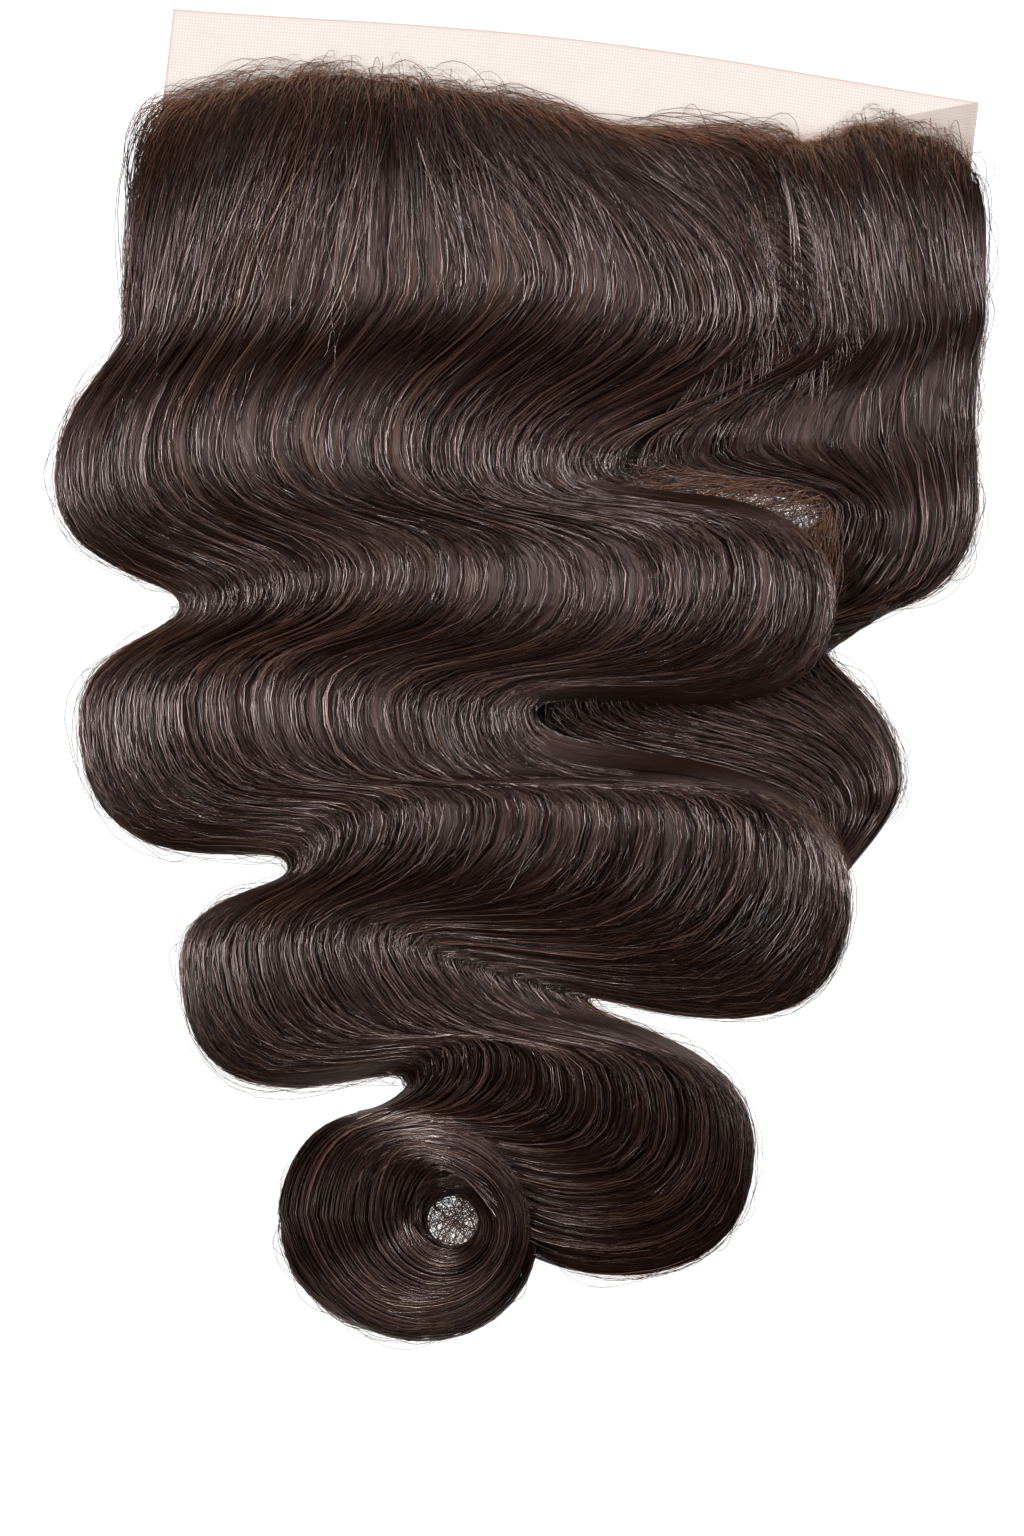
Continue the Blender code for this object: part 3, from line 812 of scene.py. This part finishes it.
# The valley where the side fall leaves the main fall, and the thin place below it.
valley = {
    "strands": 240,
    "radius": (0.18, 0.34),
    "height": (3.0, 9.0),       # mm
    "sparse": 250,              # strands over the thin place, and again as many fine ones
    "crossing": 400,            # strands that cross the valley near the lace
    "notch": 420,               # in the notch below the third bend
}


def bezier(a, b, c, d, steps):
    # Cubic Bezier for each strand: the four standard weights in t times its four points.
    t = np.linspace(0, 1, steps)[None, :, None]
    return ((1 - t) ** 3 * a[:, None] + 3 * (1 - t) ** 2 * t * b[:, None]
            + 3 * (1 - t) * t**2 * c[:, None] + t**3 * d[:, None])


def surfaceTop(fall, plan):
    # The fall's height at free plan places: that of the nearest of a net of places on the fall.
    across, along = np.meshgrid(np.linspace(0, 1, 90), np.linspace(-0.1, 2.3, 60), indexing="ij")
    places = planAt(flow[fall], across, along)
    top = heights(fall, places, across, along)[1].ravel()
    places = places.reshape(-1, 2)
    flat = plan.reshape(-1, 2)
    found = np.zeros(len(flat))
    for part in np.array_split(np.arange(len(flat)), max(1, len(flat) // 2000)):
        away = ((flat[part, None, :] - places) ** 2).sum(-1)
        found[part] = top[away.argmin(axis=1)]
    return found.reshape(plan.shape[:-1])


def valleyStrands():
    # Between the main fall's right edge and the side fall's left edge, mixed by a random share.
    count, steps = valley["strands"], 14
    begin = rng.uniform(0.05, 1.3, count)
    finish = np.minimum(begin + rng.uniform(0.7, 1.6, count), rng.uniform(1.9, 2.45, count))
    along = begin[:, None] + (finish - begin)[:, None] * np.linspace(0, 1, steps)
    share = rng.uniform(-0.1, 1.1, (count, 1)) + 0.12 * sway(count, along)
    mainEdge = planAt(flow["main"], np.full(along.shape, 0.995), along)
    sideEdge = planAt(flow["side"], np.full(along.shape, 0.01), along)
    plan = mainEdge + (sideEdge - mainEdge) * share[..., None]
    height = rng.uniform(*valley["height"], (count, 1)) + 0.6 * sway(count, along)
    return layStrands("valleyStrands", plan, height, valley["radius"], strandTone(count), hairStrands,
                      bandShade("side", along))


def thinPlaceHairs(name, earliest, radius, material, shade):
    # From the side fall's inner edge they bow down into the main fall's third bend.
    count, steps = valley["sparse"], 11
    start = rng.uniform(earliest, 3.1, count)
    end = np.minimum(start + rng.uniform(-0.35, 0.35, count), 3.05)
    a = planAt(flow["side"], rng.uniform(0.02, 0.12, (count, 1)), start[:, None])[:, 0]
    b = planAt(flow["main"], rng.uniform(0.9, 0.99, (count, 1)), end[:, None])[:, 0]
    t = np.linspace(0, 1, steps)[None, :, None]
    bow = np.stack([rng.uniform(-4, 14, count), rng.uniform(-6, 10, count)], axis=1)[:, None, :]
    plan = a[:, None] + (b - a)[:, None] * t + bow * t * (1 - t) * 2.5
    height = rng.uniform(2, 6, (count, 1)) + 2 * t[..., 0]
    return layStrands(name, plan, height, radius, strandTone(count), material, shade)


def evened(height):
    # Each step's height drawn towards its neighbours', three times over.
    for turn in range(3):
        height = np.concatenate([height[:, :1], (height[:, :-2] + 2 * height[:, 1:-1] + height[:, 2:]) / 4,
                                 height[:, -1:]], axis=1)
    return height


def crossingStrands():
    # From the main fall's right end, sideways over the valley and down along the side fall.
    count, steps = valley["crossing"], 14
    a = planAt(flow["main"], rng.uniform(0.82, 1.0, (count, 1)), rng.uniform(-0.02, 0.5, (count, 1)))[:, 0]
    joinU, join = rng.uniform(0.0, 0.45, (count, 1)), rng.uniform(1.0, 2.0, (count, 1))
    b = planAt(flow["side"], joinU, join)[:, 0]
    before = planAt(flow["side"], joinU, join - 0.5)[:, 0]
    aside = np.stack([rng.uniform(4, 16, count), rng.uniform(-14, 2, count)], axis=1)
    plan = bezier(a, a + aside, before, b, steps)
    top = np.maximum(surfaceTop("main", plan), surfaceTop("side", plan))
    height = evened(top) + rng.uniform(-0.6, 0.5, (count, 1))
    # Painted shade along them: dull and darker at the start, bright in the middle, duller again towards the
    # end.
    return layStrands("crossingStrands", plan, height, comb["radius"], strandTone(count), hairStrands,
                      np.interp(np.linspace(0, 1, steps), (0, 0.3, 0.5, 0.7, 1), (1, 0.6, 0.1, 0.7, 0.4)))


def notchStrands():
    # Strands in the notch between the third and fifth bends, between the main fall's right
    # edge and the side fall's outer edge by a random share. The side fall's dull bands paint
    # them dark, as painted shade of the notch.
    count, steps = valley["notch"], 13
    along = rng.uniform(3.1, 3.5, (count, 1)) + rng.uniform(1.1, 1.5, (count, 1)) * np.linspace(0, 1, steps)
    share = rng.uniform(0, 1.0, (count, 1)) + 0.05 * sway(count, along)
    mainEdge = planAt(flow["main"], np.full(along.shape, 0.99), along)
    sideEdge = planAt(flow["side"], np.full(along.shape, 0.97), along)
    plan = mainEdge + (sideEdge - mainEdge) * np.clip(share, 0, 1)[..., None]
    height = rng.uniform(5.2, 8.5, (count, 1)) + 0.4 * sway(count, along)
    return layStrands("notchStrands", plan, height, (0.12, 0.26), strandTone(count), hairStrands,
                      bandShade("side", along))


valleyStrands()
# Painted shade: the strands in the thin place are half dull, so they shine less and are painted darker; the
# fine hairs there get the painted lit-through colour.
thinPlaceHairs("thinPlaceStrands", 1.9, (0.10, 0.22), hairStrands, 0.5)
thinPlaceHairs("thinPlaceHairs", 2.4, (0.09, 0.19), hairFine, 0)
crossingStrands()
notchStrands()
print("valley filled")


# Strands of the curl: those that come in from the main fall and those that wind round its ring.
coil = {
    "incoming": 360,
    "over": 1.6,            # mm, the incoming strands lie this far over the ring
    "winding": 420,
    "windTurns": (0.35, 0.85),
    "inward": 0.22,         # share of the ring that a winding strand crosses
}


def curlIncoming():
    # From the seventh bend over the curl's top and left side, then wound in towards the hole.
    count = coil["incoming"]
    across = (np.arange(count) + rng.random(count)) / count
    steps, inward = 14, 18
    begin = rng.uniform(6.7, 8.6, count)[:, None]
    along = begin + (10 - begin) * np.linspace(0, 1, steps)[None, :]
    place, rise, tuftTone = tufted("main", across, along)
    plan = planAt(flow["main"], place, along)
    wound = windIn(plan[:, -1], rng.uniform(*curl["turns"], count), inward)
    top = heights("main", plan, place, along)[1]
    share = smooth(7.7, 8.7, along)
    height = top * (1 - share) + (curlHeight(plan) + coil["over"]) * share
    sinking = coil["over"] * (1 - 1.8 * smooth(0, 1, np.linspace(0, 1, inward)))
    height = np.concatenate([height + rise, curlHeight(wound) + rise[:, -1:] + sinking], axis=1)
    plan = np.concatenate([plan, wound], axis=1)
    height = height - rng.uniform(*comb["depth"], count)[:, None]
    shade = np.concatenate([bandShade("main", along), curlShade(wound)], axis=1)
    return layStrands("curlIncoming", plan, height, comb["radius"], strandTone(count, tuftTone),
                      hairStrands, shade)


def curlWinding():
    # Round the ring: a share s between outline and hole that grows with the turn.
    count, steps = coil["winding"], 24
    start = rng.uniform(0, 2 * math.pi, (count, 1))
    turn = start + rng.uniform(*coil["windTurns"], (count, 1)) * 2 * math.pi * np.linspace(0, 1, steps)
    s = rng.uniform(0.0, 1.0, (count, 1)) ** 0.8
    s = s + coil["inward"] * np.linspace(-0.5, 0.5, steps) + 0.012 * sway(count, turn)
    s = np.clip(s, 0.01 + 0.02 * rng.random((count, 1)), 0.985)
    plan = ringPlan(turn, s)
    height = ringHeight(s) - rng.uniform(*comb["depth"], (count, 1))
    return layStrands("curlWinding", plan, height, comb["radius"], strandTone(count), hairStrands,
                      curlShade(plan))


curlIncoming()
curlWinding()
print("curl combed")


# Loose hairs: strays along the outline, flyaways over the top, and those across the hole.
loose = {
    "edgeStrays": 190,      # at each edge
    "edgeReach": 4.0,       # mm
    "flyaways": 160,
    "acrossHole": 200,
    "curlStrays": 110,
    "radius": (0.07, 0.14), # mm
}


def edgeStrays(name, fall, edge, count, end):
    # Beside the outermost strand by half a sine wave, skewed by a power of its run.
    steps = 10
    span = rng.uniform(0.15, 0.8, count)
    begin = rng.uniform(0.25, end - 0.35, count)
    t = np.linspace(0, 1, steps)
    along = begin[:, None] + np.minimum(span, end - begin)[:, None] * t
    plan = planAt(flow[fall], np.full(along.shape, float(edge)), along)
    tangent = np.gradient(plan, axis=1)
    tangent /= np.maximum(np.linalg.norm(tangent, axis=2, keepdims=True), 1e-9)
    outward = np.dstack([-tangent[..., 1], tangent[..., 0]]) * (1 if edge else -1)
    peak = np.minimum(rng.exponential(loose["edgeReach"] * 0.4, (count, 1)) + 1, loose["edgeReach"] * 1.6)
    lean = rng.uniform(0.4, 2.5, (count, 1))
    away = peak * np.sin(math.pi * t[None, :] ** lean) + rng.uniform(-2.0, 0.3, (count, 1))
    away = away + 0.35 * sway(count, along * 4)
    plan = plan + outward * away[..., None]
    height = rng.uniform(1.0, 6.0, (count, 1)) + 0 * along
    return layStrands(name, plan, height, loose["radius"], rng.beta(2, 2, count), hairFine)


edgeStrays("straysLeft", "main", 0, loose["edgeStrays"], 7.2)
edgeStrays("straysRight", "main", 1, loose["edgeStrays"], 7.9)
edgeStrays("straysSideOuter", "side", 1, loose["edgeStrays"], 5.4)
edgeStrays("straysSideInner", "side", 0, loose["edgeStrays"] // 2, 5.0)


def curlStrays():
    # Short arcs just outside the curl's outline.
    count, steps = loose["curlStrays"], 11
    turn = rng.uniform(2.2, 5.6, (count, 1)) + rng.uniform(0.2, 0.9, (count, 1)) * np.linspace(0, 1, steps)
    away = rng.exponential(1.6, (count, 1)) * np.sin(math.pi * np.linspace(0, 1, steps)) - 0.8
    away = away + 0.3 * sway(count, turn * 3)
    plan = np.dstack([curl["centre"][0] + (curl["radii"][0] + away) * np.cos(turn),
                      curl["centre"][1] + (curl["radii"][1] + away) * np.sin(turn)])
    height = rng.uniform(1.0, 6.0, (count, 1)) + 0 * turn
    return layStrands("curlStrays", plan, height, loose["radius"], rng.beta(2, 2, count), hairFine)


def flyaways():
    # Thin strands over the top that drift far across the falls.
    count, steps = loose["flyaways"], 18
    across = rng.uniform(0.02, 0.98, count)
    begin = rng.uniform(0, 6, count)
    along = begin[:, None] + rng.uniform(1, 3, count)[:, None] * np.linspace(0, 1, steps)
    along = np.minimum(along, 8.4)
    drifting = np.clip(across[:, None] + 0.028 * sway(count, along), 0.003, 0.997)
    plan = planAt(flow["main"], drifting, along)
    top = heights("main", plan, drifting, np.minimum(along, 8))[1]
    height = top + rng.uniform(0.1, 0.8, (count, 1))
    return layStrands("flyaways", plan, height, (0.09, 0.17), strandTone(count), hairStrands,
                      0.3 * bandShade("main", along))


def holeHairs():
    # Shallow arcs from rim to rim of the curl's hole, laid densely so that they also stand in for
    # the shade over the floor there; they take the painted lit-through colour.
    count, steps = loose["acrossHole"], 10
    start = rng.uniform(0, 2 * math.pi, count)
    turn = start + rng.uniform(1.2, 3.4, count)
    reach = curl["holeRadius"] + 2.5
    a = reach * np.stack([np.cos(start), np.sin(start)], axis=1)[:, None, :]
    b = reach * np.stack([np.cos(turn), np.sin(turn)], axis=1)[:, None, :]
    t = np.linspace(0, 1, steps)[None, :, None]
    bulge = (a + b) * rng.uniform(-0.1, 0.35, (count, 1, 1)) * 4 * t * (1 - t)
    plan = np.array(curl["hole"]) + a + (b - a) * t + bulge
    height = rng.uniform(2, 7, (count, 1)) + 0 * t[..., 0]
    return layStrands("holeHairs", plan, height, (0.08, 0.18), rng.beta(2.5, 1.5, count), hairFine)


curlStrays()
flyaways()
holeHairs()
print("loose hairs laid")


# Roots and baby hairs: they rise from the lace at the hairline, arch away from the parting and
# fold back into the falls.
hairline = {
    "roots": {"main": 980, "side": 330, "ahead": 1.2, "loop": 5.0, "lean": 26.0,
              "join": (0.4, 1.15), "radius": (0.12, 0.25), "steps": 11},
    "baby": {"main": 800, "side": 300, "ahead": 3.0, "loop": 20.0, "lean": 30.0,
             "join": (0.12, 0.6), "radius": (0.08, 0.16), "steps": 10},
    "notches": ((6.0, 17.0), (94.0, 12.0)),     # mm, middle and half width, where the loops stay low
    "low": 0.85,            # share by which they stay lower there
}


def rootHairs(name, kind, fall):
    # Cubic Bezier from the root, forward and sideways over the lace, and back along the fall.
    style = hairline[kind]
    count = style[fall]
    across = (np.arange(count) + rng.random(count)) / count
    root = planAt(flow[fall], across[:, None], np.full((count, 1), 0.0))[:, 0]
    forward = np.array([math.sin(math.radians(-lace["tilt"])), math.cos(math.radians(lace["tilt"]))])
    ahead = rng.exponential(style["ahead"], count)
    dips = [np.exp(-((root[:, 0] - x) / wide) ** 2) for x, wide in hairline["notches"]]
    reach = 1 - hairline["low"] * sum(dips)
    root = root + forward * (np.minimum(ahead, 9) * reach)[:, None] - forward * 1.5
    away = np.tanh((across - comb["parting"]) * comb["partingSharp"]) if fall == "main" else 0.7 - across
    lean = style["lean"] * (0.8 * away + rng.normal(0, 0.35, count))
    loop = 1 + style["loop"] * rng.beta(1.3, 3.0, count) * reach
    sideways = np.stack([lean, 0 * lean], axis=1)
    first = root + forward * loop[:, None] + sideways * 0.6
    joinU = np.clip(across + lean * 0.0045, 0.003, 0.997)
    join = rng.uniform(*style["join"], count)
    last = planAt(flow[fall], joinU[:, None], join[:, None])[:, 0]
    before = planAt(flow[fall], joinU[:, None], (join * 0.4)[:, None])[:, 0]
    second = before + forward * (loop * 0.6)[:, None] + sideways * 0.5
    plan = bezier(root, first, second, last, style["steps"])
    t = np.linspace(0, 1, style["steps"])[None, :]
    rise = smooth(0, 0.3, t)
    over = rng.uniform(-0.2, 0.6, (count, 1)) - 0.8 * smooth(0.75, 1.0, t)
    height = 0.9 + (evened(surfaceTop(fall, plan)) + over - 0.9) * rise
    material = hairStrands if kind == "roots" else hairFine
    tone = strandTone(count) if kind == "roots" else 0.5 + 0.5 * strandTone(count)
    # Painted shade: root hairs are dull and darker near the root. Baby hairs get the painted lit-through
    # colour over the lace, and are painted darker over the hair.
    if kind == "roots":
        shade = 1 - 0.9 * smooth(0.4, 0.9, join[:, None] * t)
    else:               # free over the lace, then like the hair that they join
        shade = smooth(0.4, 0.7, t)
    return layStrands(name, plan, height, style["radius"], tone, material, shade)


for kind in ("roots", "baby"):
    rootHairs(kind + "HairsMain", kind, "main")
    rootHairs(kind + "HairsSide", kind, "side")
print("hairline laid")


# Lace: one thin closed sheet of net.
net = {
    "colour": (0.192, 0.165, 0.151),
    "edgeColour": (0.15, 0.11, 0.09),
    "knotColour": (0.100, 0.054, 0.036),
    "knotReach": (-3.0, 8.0),   # mm ahead of the hairline over which the knots thin out
    "alpha": (0.38, 0.51),      # between and on the threads
    "pitch": 1.25,              # mm between threads
    "rough": 0.85,
    "rimWidth": (0.15, 0.9),    # mm from the cut edge over which its colour fades
    "rimAlpha": 0.35,
    "knotAlpha": 0.6,
    "speckle": (0.25, 0.6),     # noise values between which the knots gather
    "speckleScale": 0.9,
    "mottleScale": 0.06,
    "mottleAlpha": 0.12,
}


def laceMaterial():
    material, nodes, links = newMaterial("laceNet")
    shader = nodes["Principled BSDF"]
    weave = nodes.new("ShaderNodeAttribute")
    weave.attribute_name = "weave"      # x and y in mm over the flat cut
    rim = nodes.new("ShaderNodeAttribute")
    rim.attribute_name = "rim"          # mm from the cut edge
    split = nodes.new("ShaderNodeSeparateXYZ")
    links.new(weave.outputs["Vector"], split.inputs[0])
    threads = []
    for axis in ("X", "Y"):
        scaled = nodes.new("ShaderNodeMath")
        scaled.operation = "MULTIPLY"
        scaled.inputs[1].default_value = math.pi / net["pitch"]
        links.new(split.outputs[axis], scaled.inputs[0])
        wave = nodes.new("ShaderNodeMath")
        wave.operation = "SINE"
        links.new(scaled.outputs[0], wave.inputs[0])
        square = nodes.new("ShaderNodeMath")
        square.operation = "POWER"
        links.new(wave.outputs[0], square.inputs[0])
        square.inputs[1].default_value = 2
        threads.append(square)
    both = nodes.new("ShaderNodeMath")
    both.operation = "MAXIMUM"
    links.new(threads[0].outputs[0], both.inputs[0])
    links.new(threads[1].outputs[0], both.inputs[1])
    mottle = nodes.new("ShaderNodeTexNoise")
    mottle.inputs["Scale"].default_value = net["mottleScale"]
    mottle.inputs["Detail"].default_value = 4
    links.new(weave.outputs["Vector"], mottle.inputs["Vector"])
    edge = nodes.new("ShaderNodeMapRange")
    edge.inputs["From Min"].default_value = net["rimWidth"][0]
    edge.inputs["From Max"].default_value = net["rimWidth"][1]
    edge.inputs["To Min"].default_value = 1
    edge.inputs["To Max"].default_value = 0
    links.new(rim.outputs["Fac"], edge.inputs["Value"])
    tint = nodes.new("ShaderNodeMix")
    tint.data_type = "RGBA"
    tint.inputs[6].default_value = (*net["colour"], 1)
    tint.inputs[7].default_value = (*net["edgeColour"], 1)
    links.new(edge.outputs["Result"], tint.inputs[0])
    knots = nodes.new("ShaderNodeAttribute")
    knots.attribute_name = "knots"
    speckle = nodes.new("ShaderNodeTexNoise")
    speckle.inputs["Scale"].default_value = net["speckleScale"]
    speckle.inputs["Detail"].default_value = 2
    links.new(weave.outputs["Vector"], speckle.inputs["Vector"])
    strong = nodes.new("ShaderNodeMapRange")
    strong.inputs["From Min"].default_value = net["speckle"][0]
    strong.inputs["From Max"].default_value = net["speckle"][1]
    links.new(speckle.outputs["Fac"], strong.inputs["Value"])
    knotted = nodes.new("ShaderNodeMath")
    knotted.operation = "MULTIPLY"
    links.new(knots.outputs["Fac"], knotted.inputs[0])
    links.new(strong.outputs["Result"], knotted.inputs[1])
    brown = nodes.new("ShaderNodeMix")
    brown.data_type = "RGBA"
    brown.inputs[7].default_value = (*net["knotColour"], 1)
    links.new(knotted.outputs[0], brown.inputs[0])
    links.new(tint.outputs[2], brown.inputs[6])
    links.new(brown.outputs[2], shader.inputs["Base Color"])
    solid = nodes.new("ShaderNodeMapRange")
    solid.inputs["To Min"].default_value = net["alpha"][0]
    solid.inputs["To Max"].default_value = net["alpha"][1]
    links.new(both.outputs[0], solid.inputs["Value"])
    patchy = nodes.new("ShaderNodeMath")
    patchy.operation = "MULTIPLY_ADD"
    links.new(mottle.outputs["Fac"], patchy.inputs[0])
    patchy.inputs[1].default_value = net["mottleAlpha"]
    links.new(solid.outputs["Result"], patchy.inputs[2])
    rimmed = nodes.new("ShaderNodeMath")
    rimmed.operation = "MULTIPLY_ADD"
    links.new(edge.outputs["Result"], rimmed.inputs[0])
    rimmed.inputs[1].default_value = net["rimAlpha"]
    links.new(patchy.outputs[0], rimmed.inputs[2])
    hidden = nodes.new("ShaderNodeMath")
    hidden.operation = "MULTIPLY_ADD"
    links.new(knotted.outputs[0], hidden.inputs[0])
    hidden.inputs[1].default_value = net["knotAlpha"]
    links.new(rimmed.outputs[0], hidden.inputs[2])
    links.new(hidden.outputs[0], shader.inputs["Alpha"])
    bump = nodes.new("ShaderNodeBump")
    bump.inputs["Strength"].default_value = 0.4
    bump.inputs["Distance"].default_value = 0.0001
    links.new(both.outputs[0], bump.inputs["Height"])
    links.new(bump.outputs["Normal"], shader.inputs["Normal"])
    shader.inputs["Roughness"].default_value = net["rough"]
    shader.inputs["Specular IOR Level"].default_value = 0.2
    return material


def laceSheet():
    # Rectangle of the cut size whose front edge swells by a sine, turned by the tilt, with low
    # ripples in height, as top and underside joined at the rim.
    fine = np.array([0, 0.25, 0.5, 1.0]) * mm
    length, width = lace["length"], lace["width"]
    along, across = lace["steps"]
    a = np.concatenate([fine, np.linspace(2 * mm, length - 2 * mm, along), length - fine[::-1]])
    b = np.concatenate([fine, np.linspace(2 * mm, width - 2 * mm, across), width - fine[::-1]])
    A, B = np.meshgrid(a, b, indexing="ij")
    swell = lace["bow"] * np.sin(np.pi * A / length) ** 1.3 * B / width
    flat = np.stack([A - length / 2, B - width / 2 + swell], axis=-1)
    plan = turnLace(flat)
    ripple = lace["ripple"] * (np.sin(A * 90 + 1.3 * np.sin(B * 60)) * 0.5 + 0.5)
    low = lace["lift"] + ripple
    top = np.dstack([plan, low + lace["thickness"]])
    bottom = np.dstack([plan, low])[:, ::-1]
    rings = np.concatenate([top, bottom], axis=1)
    count, size = rings.shape[:2]
    quads = ringQuads(1, count, size)
    half = np.arange(len(b) - 1)
    cap = np.stack([half, half + 1, size - 2 - half, size - 1 - half], axis=1)
    quads = np.concatenate([quads, cap[:, ::-1], cap + (count - 1) * size])
    line = np.array([row[5:] for row in (flow["main"][0], flow["side"][0])], float).reshape(-1, 2)
    ahead = plan[..., 1] / mm - np.interp(plan[..., 0] / mm, line[:, 0], line[:, 1])
    knots = 1 - smooth(*net["knotReach"], ahead)
    rim = np.minimum(np.minimum(A, length - A), np.minimum(B, width - B)) / mm
    weave = np.dstack([A / mm, B / mm, 0 * A])
    rim = np.concatenate([rim, rim[:, ::-1]], axis=1).ravel()
    knots = np.concatenate([knots, knots[:, ::-1]], axis=1).ravel()
    weave = np.concatenate([weave, weave[:, ::-1]], axis=1).reshape(-1, 3)
    piece = newMesh("laceSheet", rings.reshape(-1, 3), quads, np.zeros((0, 3), int),
                    {"rim": rim, "weave": weave, "knots": knots}, laceMaterial())
    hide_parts("lace_net")
    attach(piece, "root")
    return piece


laceSheet()
print("lace laid")


# Studio: pale floor, soft boxes at the left, the right and beyond the lace, camera straight above.
studio = {
    "floorColour": (0.08, 0.08, 0.08),
    "floorGlow": 0.98,
    "floorSize": 6,
    "floorHeight": -0.0003,     # just under the part, so that the two don't flicker
    "aim": (0, -0.2, 0),        # where the boxes point
    "boxes": (                  # place in metres, width, height and power
        ((1.7, -0.1, 1.1), 0.9, 0.6, 130.0),
        ((-1.7, -0.1, 1.1), 0.9, 0.6, 130.0),
        ((0.1, 1.5, 1.2), 0.8, 0.5, 125.0),
    ),
    "worldStrength": 0.05,
    "middle": (-0.02035, -0.2393),
    "cameraHeight": 3.0,
    "viewHeight": 0.6252,       # metres of floor from the top to the bottom of the picture
}


def buildStudio():
    bpy.ops.mesh.primitive_plane_add(size=studio["floorSize"], location=(0, 0, studio["floorHeight"]))
    floor = bpy.context.object
    floor.name = "floor"
    material, nodes, links = newMaterial("paleFloor")
    nodes["Principled BSDF"].inputs["Base Color"].default_value = (*studio["floorColour"], 1)
    nodes["Principled BSDF"].inputs["Roughness"].default_value = 0.9
    nodes["Principled BSDF"].inputs["Specular IOR Level"].default_value = 0.1
    nodes["Principled BSDF"].inputs["Emission Color"].default_value = (1, 1, 1, 1)
    nodes["Principled BSDF"].inputs["Emission Strength"].default_value = studio["floorGlow"]
    floor.data.materials.append(material)
    for place, width, height, power in studio["boxes"]:
        data = bpy.data.lights.new("softBox", "AREA")
        data.shape = "RECTANGLE"
        data.size = width
        data.size_y = height
        data.energy = power
        box = bpy.data.objects.new("softBox", data)
        box.location = place
        towards = Vector(studio["aim"]) - Vector(place)
        box.rotation_euler = towards.to_track_quat("-Z", "Y").to_euler()
        bpy.context.scene.collection.objects.link(box)
    world = bpy.data.worlds.new("studioWorld")
    world.use_nodes = True
    world.node_tree.nodes["Background"].inputs["Color"].default_value = (1, 1, 1, 1)
    world.node_tree.nodes["Background"].inputs["Strength"].default_value = studio["worldStrength"]
    bpy.context.scene.world = world
    cameraData = bpy.data.cameras.new("camera")
    cameraData.sensor_width = 36
    cameraData.lens = 36 * studio["cameraHeight"] / studio["viewHeight"]
    cameraData.clip_end = 20
    camera = bpy.data.objects.new("camera", cameraData)
    camera.location = (*studio["middle"], studio["cameraHeight"])
    bpy.context.scene.collection.objects.link(camera)
    bpy.context.scene.camera = camera
    bpy.context.scene.view_settings.view_transform = "Standard"


buildStudio()
nodes = set(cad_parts)
added = [p for p in bpy.data.objects if p.type == "MESH" and p.name not in nodes]
# A face of n corners is n - 2 triangles.
print("studio built, triangles added:", sum(len(p.data.loops) - 2 * len(p.data.polygons) for p in added))
